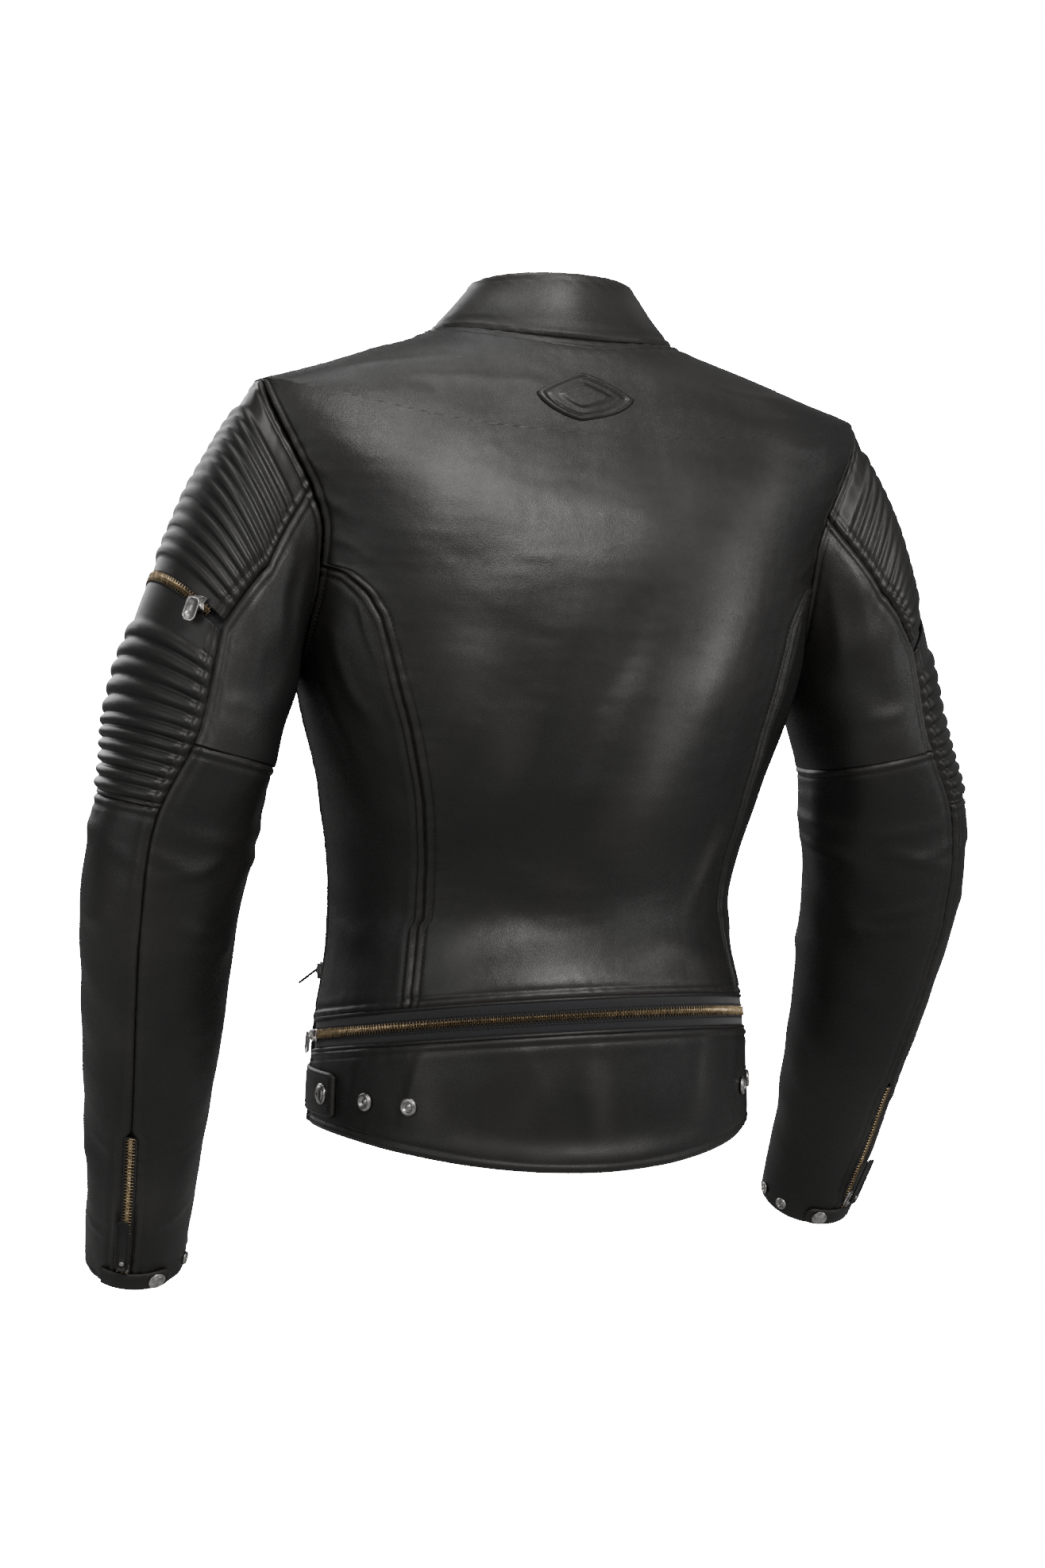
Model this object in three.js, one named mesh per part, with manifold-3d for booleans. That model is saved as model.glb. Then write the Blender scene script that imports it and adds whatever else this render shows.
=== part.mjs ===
// A fitted leather riding jacket with padded ribs on the shoulders and elbows, a zip round the waist
// that takes the lower back off, zipped cuffs, snap straps at hem and cuffs, and pads inside.
// Millimetres, +Z up, +X towards the wearer's left hand, +Y out of the wearer's back.
import * as THREE from 'three';
import { mergeVertices } from 'three/addons/utils/BufferGeometryUtils.js';
import Module from 'manifold-3d';

const wasm = await Module();
wasm.setup();

// Driving dimensions.
const backLength = 594; // from the neck seam at the back down to the hem
const hemHalf = 170;
const waistZipRadius = 166; // the waist zip lies on a tilted circle of this radius
const waistZipAboveHem = 85; // height of that circle's centre above the hem at the back
const waistZipRise = 25; // how much higher the zip is at the back than at the sides
const waistHalf = 156;
const ribHalf = 171;
const chestHalf = 194;
const bladeHalf = 201;
const shoulderHalf = 232;
const midShoulderHalf = 150;
const neckHalf = 95;
const collarTopHalf = 60;
const collarHeight = 46;
const frontArcRadius = 1417; // the front edge and its zip lie on one large arc, seen from the side
const armholeDepth = 20; // half width of the armhole, in degrees round the chest
const armDrop = 630; // from the shoulder tip down to the cuff
const underarmDrop = 247; // from the shoulder tip down to the last ring that fans out from the armhole
const cuffRadius = 36.5;
const leatherThick = 2.6;
const collarThick = 3.6;
const padThick = 7;
const backPadThick = 9;
const liningThick = 1.2;
const seamGap = 0.5;
const collarSeamGap = 1; // the collar turns up sharply here, so its seam needs more room
const padGap = 1.7; // between leather, pad and lining, where the pads lie loose in their pockets
const ribRearAngle = 65; // where the rear sleeve seam runs, in degrees from the outermost line
const elbowFlex = 45; // degrees that the elbow bends further than it hangs
const elbowStation = 4.7;
const elbowPivotForward = 20;
const sleevePocketStation = 2;
const sleevePocketHalfSweep = 50;
const zipTeethWidth = 7;
const tapeThick = 1.6;
const waistBandHalf = 11.6; // half of the opening that shows the waist zip's tape
const sliderLength = 13;
const sliderWidth = 9;
const sliderThick = 4.2;
const sliderLift = 0.6; // running clearance between slider and teeth
const pullThick = 1.8;
const pullGap = 0.8; // the pull's eye turns on its slider with this clearance
const pullEyeRadius = 0.7;
const pullNose = 1.3; // how far the pull reaches past the middle of its eye
const metalPullLength = 13;
const leatherPullLength = 44;
const pullWidth = 7.5;
const waistStrapWidth = 32;
const waistStrapThick = 3;
const strapAboveHem = 45; // height of the strap's middle line above the hem at the back
const cuffStrapWidth = 15;
const cuffStrapThick = 2.6;
const cuffSliderGap = 3.1; // between the closed cuff zip's slider and the strap below it
const snapRadius = 7.6;
const cuffSnapRadius = 6.4;
const snapHeight = 3.2;
const studRadius = 6.6;
const cuffStudRadius = 5;
const studHeight = 3;
const hangerLoopWidth = 60;
const hangerLoopThick = 2.4;
const hangerLoopDrop = 13;
const seat = 0.35; // gap between a piece and the surface it is fixed on
const roundSteps = 12; // facets round a snap or a stud

const radians = Math.PI / 180;
const jacket = new THREE.Group();
const leather = { color: 0x1f1e1e, roughness: 0.42, metalness: 0 };
const ribbedLeather = { color: 0x232220, roughness: 0.4, metalness: 0 };
const foam = { color: 0x4a5560, roughness: 0.9, metalness: 0 };
const cloth = { color: 0x26262a, roughness: 0.85, metalness: 0 };
const brass = { color: 0x7c6238, roughness: 0.4, metalness: 1 };
const silver = { color: 0x9a9894, roughness: 0.32, metalness: 1 };

function add(name, geometry, look) {
  const mesh = new THREE.Mesh(geometry, new THREE.MeshStandardMaterial(look));
  mesh.name = name;
  jacket.add(mesh);
}

// A point on a smooth curve through stations, each tangent weighted by the spans on both sides of it.
// Where softCorner is 1 at the corner station, the curve leaves that station straight.
function along(stations, t, corner = -1, softCorner = 0) {
  const last = stations.length - 1;
  const k = Math.min(Math.max(Math.floor(t), 0), last - 1);
  const f = t - k;
  const from = stations[k];
  const to = stations[k + 1];
  const chord = to.clone().sub(from);
  const span = chord.length() + 1e-9;
  const tangent = (before, mid, after) => {
    const spanIn = mid.distanceTo(before) + 1e-9;
    const spanOut = after.distanceTo(mid) + 1e-9;
    const incoming = mid.clone().sub(before).multiplyScalar(spanOut / spanIn);
    const outgoing = after.clone().sub(mid).multiplyScalar(spanIn / spanOut);
    return incoming.add(outgoing).multiplyScalar(span / (spanIn + spanOut));
  };
  const start = k === 0 ? chord.clone() : tangent(stations[k - 1], from, to);
  const end = k === last - 1 ? chord.clone() : tangent(from, to, stations[k + 2]);
  if (k === corner) start.lerp(chord, softCorner);
  const f2 = f * f;
  const f3 = f2 * f;
  return from.clone().multiplyScalar(2 * f3 - 3 * f2 + 1)
    .addScaledVector(start, f3 - 2 * f2 + f)
    .addScaledVector(to, -2 * f3 + 3 * f2)
    .addScaledVector(end, f3 - f2);
}

// The front edge's arc, seen from the side: it passes through the hem and the throat.
const frontHem = { y: -150, z: -backLength + 49 };
const frontThroat = { y: -85, z: -75 };
const frontSpan = Math.hypot(frontThroat.y - frontHem.y, frontThroat.z - frontHem.z);
const frontReach = Math.sqrt(frontArcRadius ** 2 - (frontSpan / 2) ** 2);
const frontArcCentre = {
  y: (frontHem.y + frontThroat.y) / 2 + frontReach * (frontThroat.z - frontHem.z) / frontSpan,
  z: (frontHem.z + frontThroat.z) / 2 - frontReach * (frontThroat.y - frontHem.y) / frontSpan,
};
const frontEdgeY = (z) => (
  frontArcCentre.y - Math.sqrt(frontArcRadius ** 2 - (z - frontArcCentre.z) ** 2)
);

// The body's rings, from hem to neck seam. Each is a rounded oval: half is its half width, middle the
// place of its widest line, back how far it stands out behind, and sideZ, backZ and frontZ its heights.
const waistZipZ = -backLength + waistZipAboveHem;
const waistZipTilt = Math.atan2(waistZipRise, waistZipRadius);
const down = (share) => -backLength * share;
const rings = [
  { half: hemHalf, middle: -52, back: 160, sideZ: down(0.968), backZ: down(1), frontZ: frontHem.z },
  {
    half: waistZipRadius,
    middle: -52,
    back: waistZipRadius * Math.cos(waistZipTilt),
    sideZ: waistZipZ,
    backZ: waistZipZ + waistZipRise,
    frontZ: waistZipZ - 16,
    plane: true,
  },
  { half: waistHalf, middle: -47, back: 137, sideZ: down(0.707), backZ: down(0.694), frontZ: down(0.715) },
  { half: ribHalf, middle: -18, back: 129, sideZ: down(0.556), backZ: down(0.547), frontZ: down(0.564) },
  { half: chestHalf, middle: 2, back: 116, sideZ: -245, backZ: -240, frontZ: -255 },
  { half: bladeHalf, middle: 22, back: 91, sideZ: -150, backZ: -150, frontZ: -185 },
  { half: shoulderHalf, middle: 31, back: 56, sideZ: -48, backZ: -80, frontZ: -125 },
  { half: midShoulderHalf, middle: 22, back: 54, sideZ: -20, backZ: -36, frontZ: -95 },
  { half: neckHalf, middle: -2, back: 67, sideZ: 3, backZ: -8, frontZ: frontThroat.z },
];
const ringSquareness = [2.05, 2, 2, 2.05, 2.15, 2.3, 2.3, 2.2, 2];

function onRing(ring, squareness, angle) {
  const side = Math.sin(angle);
  const back = Math.cos(angle);
  const power = 2 / squareness;
  const depth = back > 0 ? ring.back : ring.middle - frontEdgeY(ring.frontZ);
  const share = ring.plane ? Math.abs(back) : back * back;
  return new THREE.Vector3(
    ring.half * Math.sign(side) * Math.abs(side) ** power,
    ring.middle + depth * Math.sign(back) * Math.abs(back) ** power,
    ring.sideZ + ((back > 0 ? ring.backZ : ring.frontZ) - ring.sideZ) * share,
  );
}

// The body's surface. around is in degrees from the middle of the back towards +X, and level counts
// the rings: 0 at the hem, 1 at the waist zip, 4 at the underarm, 6 at the shoulder tip, 8 at the neck.
const shoulderLevel = 6;
const neckLevel = 8;
function body(around, level) {
  const angle = around * radians;
  const stations = rings.map((ring, i) => onRing(ring, ringSquareness[i], angle));
  return along(stations, level, shoulderLevel, Math.sin(angle) ** 4);
}

// The armhole on the body's surface: turn is 0 at the shoulder tip, 90 at the back, 180 underneath.
function armhole(turn) {
  const rise = 1 + Math.cos(turn * radians);
  const reach = (armholeDepth - 2 + 3 * rise) * Math.sin(turn * radians);
  return [98 - 4 * rise - reach, 4 + rise];
}

// The left sleeve's rings, from the armhole to the cuff. The first ones fan out from the shoulder.
const shoulderTip = body(...armhole(0));
const underarm = body(...armhole(180));
const from = (point, x, y, z) => point.clone().add(new THREE.Vector3(x, y, z));
const fan = [
  { outer: from(shoulderTip, 36, -3, -60), inner: from(underarm, 10, 8, -21), depth: 66 },
  { outer: from(shoulderTip, 67, -9, -137), inner: from(underarm, 18, 9, -41) }, // a true circle
  { outer: from(shoulderTip, 95, -17, -227), inner: from(underarm, 27, 9, -69), depth: 73 },
];
// Each further ring: its middle from the shoulder tip, its share of the way down from the underarm to
// the cuff, and its two half widths.
const dropAt = (share) => underarmDrop + (armDrop - underarmDrop) * share;
const arm = [
  { x: 50, y: -27, share: 0.13, long: 66, short: 54 },
  { x: 58, y: -40, share: 0.288, long: 64, short: 52 },
  { x: 58, y: -57, share: 0.418, long: 60, short: 49 },
  { x: 57, y: -77, share: 0.561, long: 53, short: 47 },
  { x: 56, y: -98, share: 0.692, long: 47.5, short: 43.5 },
  { x: 55, y: -119, share: 0.822, long: 43, short: 39 },
  { x: 54, y: -140, share: 0.928, long: cuffRadius + 3.5, short: cuffRadius + 1 },
  { x: 53, y: -153, share: 1, long: cuffRadius, short: cuffRadius },
].map((ring) => ({ ...ring, middle: from(shoulderTip, ring.x, ring.y, -dropAt(ring.share)) }));
const longAxisTurn = 50 * radians;
const cuffLevel = fan.length + arm.length;

const acrossOf = (half) => {
  const way = half.clone().normalize();
  return new THREE.Vector3(0, 1, 0).addScaledVector(way, -way.y).normalize();
};

function sleeveStations(turn) {
  const angle = turn * radians;
  const stations = [body(...armhole(turn))];
  for (const ring of fan) {
    const middle = ring.outer.clone().add(ring.inner).multiplyScalar(0.5);
    const half = ring.outer.clone().sub(middle);
    const across = acrossOf(half);
    stations.push(middle.addScaledVector(half, Math.cos(angle))
      .addScaledVector(across, (ring.depth ?? half.length()) * Math.sin(angle)));
  }
  const last = fan[fan.length - 1];
  const middles = [last.outer.clone().add(last.inner).multiplyScalar(0.5), ...arm.map((r) => r.middle)];
  arm.forEach((ring, i) => {
    const next = middles[Math.min(i + 2, middles.length - 1)];
    const along = next.clone().sub(middles[i]).normalize();
    const out = new THREE.Vector3(1, 0, 0).addScaledVector(along, -along.x).normalize();
    const back = new THREE.Vector3().crossVectors(along, out).normalize();
    const off = angle - longAxisTurn;
    const radius = ring.long * ring.short
      / Math.hypot(ring.short * Math.cos(off), ring.long * Math.sin(off));
    stations.push(ring.middle.clone().addScaledVector(out, radius * Math.cos(angle))
      .addScaledVector(back, radius * Math.sin(angle) * Math.sign(back.y)));
  });
  return stations;
}

function sleeve(turn, level) {
  return along(sleeveStations(turn), level);
}

// The stand collar, a cone that leans in. height is 0 at the neck seam and 1 at the top edge.
const collarTop = {
  half: collarTopHalf, middle: -5, back: 57, sideZ: collarHeight - 2, backZ: collarHeight - 4, frontZ: -25,
};
function collarAt(around, height) {
  const low = body(around, neckLevel);
  return low.lerp(onRing(collarTop, 2, around * radians), height);
}

// The outward direction of a surface, from two short steps on it.
function outward(surface, a, b) {
  const stepA = surface(a + 0.5, b).sub(surface(a - 0.5, b));
  const stepB = surface(a, b + 0.01).sub(surface(a, Math.max(b - 0.01, 0)));
  return new THREE.Vector3().crossVectors(stepB, stepA).normalize();
}

// At the armhole the body's wall and the sleeve's wall meet in a mitre, and both lean the same way.
function armholeMitre(turn) {
  const [around, level] = armhole(turn);
  const sine = Math.sin(turn * radians);
  const cosine = Math.cos(turn * radians);
  const onBody = outward(body, around - 2 * sine, level + 0.08 * cosine);
  return onBody.add(outward(sleeve, turn, 0.03)).normalize();
}

// Moves the border cells of a grid of surface coordinates in by inset, so that seams keep their gap.
function insetGrid(surface, grid, inset) {
  const rows = grid.length;
  const columns = grid[0].length;
  const pull = (cell, towards, distance) => {
    if (!distance) return cell;
    const share = distance / surface(...cell).distanceTo(surface(...towards));
    return cell.map((value, k) => value + (towards[k] - value) * share);
  };
  let moved = grid.map((row) => row.map((cell, i) => {
    if (i === 0) return pull(cell, row[1], inset.start ?? 0);
    if (i === columns - 1) return pull(cell, row[columns - 2], inset.finish ?? 0);
    return cell;
  }));
  moved = moved.map((row, j) => row.map((cell, i) => {
    if (j === 0) return pull(cell, moved[1][i], inset.low ?? 0);
    if (j === rows - 1) return pull(cell, moved[rows - 2][i], inset.high ?? 0);
    return cell;
  }));
  return moved;
}

function facingOut(geometry) {
  const points = geometry.attributes.position;
  const index = geometry.index.array;
  const corners = [0, 1, 2].map(() => new THREE.Vector3());
  let volume = 0;
  for (let k = 0; k < index.length; k += 3) {
    corners.forEach((corner, c) => corner.fromBufferAttribute(points, index[k + c]));
    volume += corners[0].dot(corners[1].cross(corners[2]));
  }
  if (volume < 0) index.reverse();
  return geometry;
}

// A closed wall on a surface: its outer face stands `outer` out from the surface and its inner `inner`.
// mitre(row, column) may give another direction for the offset, or nothing.
function wall(surface, grid, outer, inner, mitre = () => null) {
  const rows = grid.length;
  const columns = grid[0].length;
  const feet = grid.map((row) => row.map(([a, b]) => surface(a, b)));
  const ways = grid.map((row, j) => row.map(([a, b], i) => mitre(j, i) ?? outward(surface, a, b)));
  const positions = [];
  for (const offset of [outer, inner]) {
    feet.forEach((row, j) => row.forEach((foot, i) => {
      positions.push(...foot.clone().addScaledVector(ways[j][i], offset).toArray());
    }));
  }
  const at = (layer, j, i) => (layer * rows + j) * columns + i;
  const index = [];
  const quad = (p, q, r, s) => index.push(p, q, r, p, r, s);
  for (let j = 0; j < rows - 1; j += 1) {
    for (let i = 0; i < columns - 1; i += 1) {
      quad(at(0, j, i), at(0, j, i + 1), at(0, j + 1, i + 1), at(0, j + 1, i));
      quad(at(1, j, i), at(1, j + 1, i), at(1, j + 1, i + 1), at(1, j, i + 1));
    }
    const end = columns - 1;
    quad(at(0, j, 0), at(0, j + 1, 0), at(1, j + 1, 0), at(1, j, 0));
    quad(at(0, j, end), at(1, j, end), at(1, j + 1, end), at(0, j + 1, end));
  }
  for (let i = 0; i < columns - 1; i += 1) {
    const top = rows - 1;
    quad(at(0, 0, i), at(1, 0, i), at(1, 0, i + 1), at(0, 0, i + 1));
    quad(at(0, top, i), at(0, top, i + 1), at(1, top, i + 1), at(1, top, i));
  }
  const geometry = new THREE.BufferGeometry();
  geometry.setAttribute('position', new THREE.Float32BufferAttribute(positions, 3));
  geometry.setIndex(index);
  return facingOut(geometry);
}

const spread = (start, end, count) => (
  Array.from({ length: count + 1 }, (_, i) => start + (end - start) * i / count)
);

// The mirror image in the plane x = 0, with its faces turned back out.
function mirrored(geometry) {
  const copy = geometry.clone().applyMatrix4(new THREE.Matrix4().makeScale(-1, 1, 1));
  copy.deleteAttribute('normal');
  if (copy.index) copy.index.array.reverse();
  else {
    const points = copy.attributes.position;
    for (let i = 0; i < points.count; i += 3) {
      const held = [points.getX(i), points.getY(i), points.getZ(i)];
      points.setXYZ(i, points.getX(i + 1), points.getY(i + 1), points.getZ(i + 1));
      points.setXYZ(i + 1, ...held);
    }
  }
  return copy;
}

function addPair(name, geometry, look) {
  add(`left_${name}`, geometry, look);
  add(`right_${name}`, mirrored(geometry), look);
}

// Leather panels of the body. The rear curved seam runs from the waist zip up to the armhole.
const rearSeam = [53, 51.3, 48.6, 48, 48.4, 49.5, 51.5, 55.5, 62];
const rearSeamLevels = [1.18, 1.7, 2.2, 2.8, 3.4, 3.84, 4.2, 4.45, 4.62];
const armholeStep = 15;
const seamMeetsArmhole = 105;
const sideSeam = 98;
const shoulderSeam = 90;
const armholeRun = (start, end) => (
  spread(start, end, Math.abs(end - start) / armholeStep).map((turn) => armhole(turn))
);
const levelAt = (around, z) => {
  let low = 0;
  let high = 4;
  for (let i = 0; i < 30; i += 1) {
    const middle = (low + high) / 2;
    if (body(around, middle).z < z) low = middle;
    else high = middle;
  }
  return low;
};
const bandLevel = (around, side) => levelAt(around, body(around, 1).z + side * waistBandHalf);
const backEdge = [
  ...rearSeam.map((around, i) => [around, i ? rearSeamLevels[i] : bandLevel(around, 1)]),
  ...armholeRun(seamMeetsArmhole, 0),
  ...spread(shoulderLevel, neckLevel, 4).slice(1).map((level) => [shoulderSeam, level]),
];
const seamHalf = seamGap / 2;
const backGrid = backEdge.map(([around, level], j) => (
  spread(-around, around, 14).map((a) => [a, j ? level : bandLevel(a, 1)])
));
const allRound = { start: seamHalf, finish: seamHalf, low: seamHalf, high: seamHalf };
const flipX = (vector) => vector.setX(-vector.x);
const backMitre = (j, i) => {
  const turn = seamMeetsArmhole - armholeStep * (j - rearSeam.length);
  if (j < rearSeam.length || turn < 0) return null;
  if (i === 0) return flipX(armholeMitre(turn));
  return i === backGrid[0].length - 1 ? armholeMitre(turn) : null;
};
add('back_panel', wall(body, insetGrid(body, backGrid, allRound), 0, -leatherThick, backMitre), leather);

// A patch between four edges, in surface coordinates: two run up the sides, two across.
function patch(left, right, low, high) {
  const rows = left.length - 1;
  const columns = low.length - 1;
  return left.map((start, j) => low.map((foot, i) => {
    const u = i / columns;
    const v = j / rows;
    return [0, 1].map((k) => (1 - u) * start[k] + u * right[j][k] + (1 - v) * foot[k] + v * high[i][k]
      - (1 - u) * (1 - v) * left[0][k] - u * (1 - v) * right[0][k]
      - (1 - u) * v * left[rows][k] - u * v * right[rows][k]);
  }));
}
const sideLeft = [...backEdge.slice(0, rearSeam.length), armhole(seamMeetsArmhole)];
const sideTop = armholeRun(seamMeetsArmhole, 180);
const sideLow = spread(sideLeft[0][0], sideSeam, sideTop.length - 1).map((a) => [a, bandLevel(a, 1)]);
const sideRight = spread(sideLow[sideLow.length - 1][1], 4, sideLeft.length - 1)
  .map((level) => [sideSeam, level]);
const sideGrid = patch(sideLeft, sideRight, sideLow, sideTop);
const sideMitre = (j, i) => (
  j === sideGrid.length - 1 ? armholeMitre(seamMeetsArmhole + armholeStep * i) : null
);
addPair('side_panel', wall(body, insetGrid(body, sideGrid, allRound), 0, -leatherThick, sideMitre), leather);

// The front panels run from the side seam to the front zip, and from the hem to the neck.
const frontOpening = zipTeethWidth / 2 + 0.4;
const frontEdgeAngle = (level) => {
  const point = body(180, level);
  const step = body(179, level).distanceTo(point);
  return 180 - frontOpening / step;
};
const frontSide = [
  ...spread(0, 1, 2).map((level) => [sideSeam, level]),
  ...sideRight.slice(1, -1),
  ...armholeRun(180, 360),
  ...spread(shoulderLevel, neckLevel, 4).slice(1).map((level) => [shoulderSeam, level]),
];
const frontGrid = frontSide.map(([around, level]) => (
  spread(around, frontEdgeAngle(level), 7).map((a) => [a, level])
));
const frontInset = { start: seamHalf, low: 0, high: seamHalf };
const frontArmholeRow = frontSide.findIndex(([around, level]) => around === sideSeam && level > 3.99);
const frontMitre = (j, i) => {
  const turn = 180 + armholeStep * (j - frontArmholeRow);
  return i === 0 && turn >= 180 && turn <= 360 ? armholeMitre(turn) : null;
};
const frontPanel = wall(body, insetGrid(body, frontGrid, frontInset), 0, -leatherThick, frontMitre);
addPair('front_panel', frontPanel, leather);

// The lower back below the waist zip, in one piece from side seam to side seam.
const hemGrid = spread(0, 1, 3).map((share) => (
  spread(-sideSeam, sideSeam, 20).map((a) => [a, bandLevel(a, -1) * share])
));
const hemInset = { start: seamHalf, finish: seamHalf };
add('hem_panel', wall(body, insetGrid(body, hemGrid, hemInset), 0, -leatherThick), leather);

const collarOpen = 180 - 4.6;
const collarGrid = [0, 0.34, 0.67, 1].map((height) => (
  spread(-collarOpen, collarOpen, 26).map((a) => [a, height])
));
const collarCells = insetGrid(collarAt, collarGrid, { low: collarSeamGap });
add('collar', wall(collarAt, collarCells, 0, -collarThick), leather);

// The lining hangs inside the leather, and the back pad sits between them.
const liningOuter = -leatherThick - 2 * padGap - backPadThick;
const liningInner = liningOuter - liningThick;
const liningHem = 0.22;
const liningTop = 7.5;
const liningBackEdge = [
  ...spread(liningHem, 4, 5).slice(0, -1).map((level) => [sideSeam + 4, level]),
  ...armholeRun(180, 30).filter((cell, i) => i % 2 === 0).map(([around, level]) => [around - 3, level]),
  [shoulderSeam + 1, 6.5],
  [shoulderSeam + 1, liningTop],
];
const liningBackGrid = liningBackEdge
  .map(([around, level]) => spread(-around, around, 10).map((a) => [a, level]));
const liningFrontEdge = [
  ...spread(liningHem, 4, 5).slice(0, -1).map((level) => [sideSeam - 4, level]),
  ...armholeRun(180, 330).filter((cell, i) => i % 2 === 0).map(([around, level]) => [around + 3, level]),
  [shoulderSeam - 1, 6.5],
  [shoulderSeam - 1, liningTop],
];
const liningFrontGrid = liningFrontEdge.map(([around, level]) => (
  spread(around, 168, 5).map((a) => [a, level])
));

function solid(geometry) {
  const bare = geometry.clone();
  bare.deleteAttribute('normal');
  bare.deleteAttribute('uv');
  const merged = mergeVertices(bare, 1e-4);
  const mesh = new wasm.Mesh({
    numProp: 3,
    vertProperties: merged.attributes.position.array,
    triVerts: new Uint32Array(merged.index.array),
  });
  return new wasm.Manifold(mesh);
}
function geometryOf(manifold) {
  const mesh = manifold.getMesh();
  const geometry = new THREE.BufferGeometry();
  geometry.setAttribute('position', new THREE.Float32BufferAttribute(mesh.vertProperties, 3));
  geometry.setIndex(Array.from(mesh.triVerts));
  return geometry;
}
const liningFront = wall(body, liningFrontGrid, liningOuter, liningInner);
const lining = solid(wall(body, liningBackGrid, liningOuter, liningInner))
  .add(solid(liningFront))
  .add(solid(mirrored(liningFront)));
add('torso_lining', geometryOf(lining), cloth);

const padOuter = -leatherThick - padGap;
const backPadRows = Math.round(backLength / 74);
const backPadGrid = spread(2.6, 6.1, backPadRows).map((level) => {
  const half = level < 3.4 ? 26 : 33;
  return spread(-half, half, 6).map((a) => [a, level]);
});
add('back_armour', wall(body, backPadGrid, padOuter, padOuter - backPadThick), foam);

// Placing small parts: a frame on a surface, with X along it, Y towards higher levels and Z outwards.
function frameOn(surface, a, b, lift, turn = 0) {
  const origin = surface(a, b);
  const normal = outward(surface, a, b);
  const up = surface(a, b + 0.02).sub(surface(a, b - 0.02));
  up.addScaledVector(normal, -up.dot(normal)).normalize();
  const side = new THREE.Vector3().crossVectors(up, normal);
  const frame = new THREE.Matrix4().makeBasis(side, up, normal);
  frame.multiply(new THREE.Matrix4().makeRotationZ(turn * radians));
  return frame.setPosition(origin.addScaledVector(normal, lift));
}
function extruded(outline, depth, holes = []) {
  const shape = new THREE.Shape(outline);
  for (const hole of holes) {
    shape.holes.push(new THREE.Path().absarc(hole[0], hole[1], hole[2], 0, 2 * Math.PI, true));
  }
  return new THREE.ExtrudeGeometry(shape, { depth, bevelEnabled: false, curveSegments: 5 });
}
const points = (...pairs) => pairs.map(([x, y]) => new THREE.Vector2(x, y));

// A zip slider: a shield that is wide where the teeth part and narrow where they close.
const sliderHalf = sliderWidth / 2;
const sliderShape = extruded(points(
  [-sliderHalf * 0.55, -sliderLength / 2],
  [sliderHalf * 0.55, -sliderLength / 2],
  [sliderHalf, sliderLength * 0.15],
  [sliderHalf, sliderLength / 2],
  [0, sliderLength * 0.36],
  [-sliderHalf, sliderLength / 2],
  [-sliderHalf, sliderLength * 0.15],
), sliderThick);
// A pull: a flat tab with an eye, hanging from the slider along -Y.
function pullShape(length) {
  const half = pullWidth / 2;
  return extruded(points(
    [-half * 0.6, pullNose],
    [-half, -1],
    [-half, -length + 2],
    [-half * 0.5, -length],
    [half * 0.5, -length],
    [half, -length + 2],
    [half, -1],
    [half * 0.6, pullNose],
  ), pullThick, [[0, 0, pullEyeRadius]]);
}
const pullLift = sliderThick + pullGap;

function addZipEnd(name, frame, pullTurn, pullLength, look) {
  const slider = sliderShape.clone().applyMatrix4(frame);
  const hang = new THREE.Matrix4().makeTranslation(0, 0, pullLift)
    .multiply(new THREE.Matrix4().makeRotationZ(pullTurn * radians));
  const pull = pullShape(pullLength).applyMatrix4(frame.clone().multiply(hang));
  add(`${name}_slider`, slider, silver);
  add(`${name}_pull`, pull, look);
}

// The waist zip: a tape with its teeth, seen in the gap above the hem panel.
const chainOuter = -0.9;
const waistChainHalf = waistBandHalf - seamGap;
const waistChainEnd = sideSeam - 1.5;
const waistChainGrid = [-1, 0, 1].map((side) => spread(-waistChainEnd, waistChainEnd, 30).map((a) => (
  [a, levelAt(a, body(a, 1).z + side * waistChainHalf)]
)));
add('waist_zip_chain', wall(body, waistChainGrid, chainOuter, chainOuter - tapeThick), brass);
const waistSliderAround = 91.5;
const waistSlider = frameOn(body, waistSliderAround, 1, chainOuter + sliderLift, -90);
addZipEnd('waist_zip', waistSlider, 90, metalPullLength, silver);

// The front zip stands closed, with its slider at the throat.
const frontArcPoint = (angle, radius) => new THREE.Vector3(
  0,
  frontArcCentre.y - radius * Math.cos(angle),
  frontArcCentre.z + radius * Math.sin(angle),
);
const frontAngle = (z) => Math.asin((z - frontArcCentre.z) / frontArcRadius);
const frontTopZ = collarTop.frontZ - 1;
function frontStrip(across, angle) {
  return frontArcPoint(angle, frontArcRadius).setX(across);
}
const frontChainGrid = spread(frontAngle(frontHem.z + 4), frontAngle(frontTopZ), 16).map((angle) => (
  spread(-zipTeethWidth / 2, zipTeethWidth / 2, 1).map((across) => [across, angle])
));
const frontWay = (j) => frontArcPoint(frontChainGrid[j][0][1], frontArcRadius + 1)
  .sub(frontArcPoint(frontChainGrid[j][0][1], frontArcRadius));
const frontChainOuter = -0.2;
const frontChainInner = frontChainOuter - leatherThick;
add('front_zip_chain', wall(frontStrip, frontChainGrid, frontChainOuter, frontChainInner, frontWay), brass);
const frontSliderZ = -52;
const sliderAngle = frontAngle(frontSliderZ);
const frontNormal = new THREE.Vector3(0, -Math.cos(sliderAngle), Math.sin(sliderAngle));
const frontUp = new THREE.Vector3(0, Math.sin(sliderAngle), Math.cos(sliderAngle));
const frontAcross = new THREE.Vector3().crossVectors(frontUp, frontNormal);
const frontSlider = new THREE.Matrix4().makeBasis(frontAcross, frontUp, frontNormal)
  .setPosition(frontArcPoint(sliderAngle, frontArcRadius + frontChainOuter + sliderLift));
addZipEnd('front_zip', frontSlider, 0, metalPullLength * 2, silver);

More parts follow.
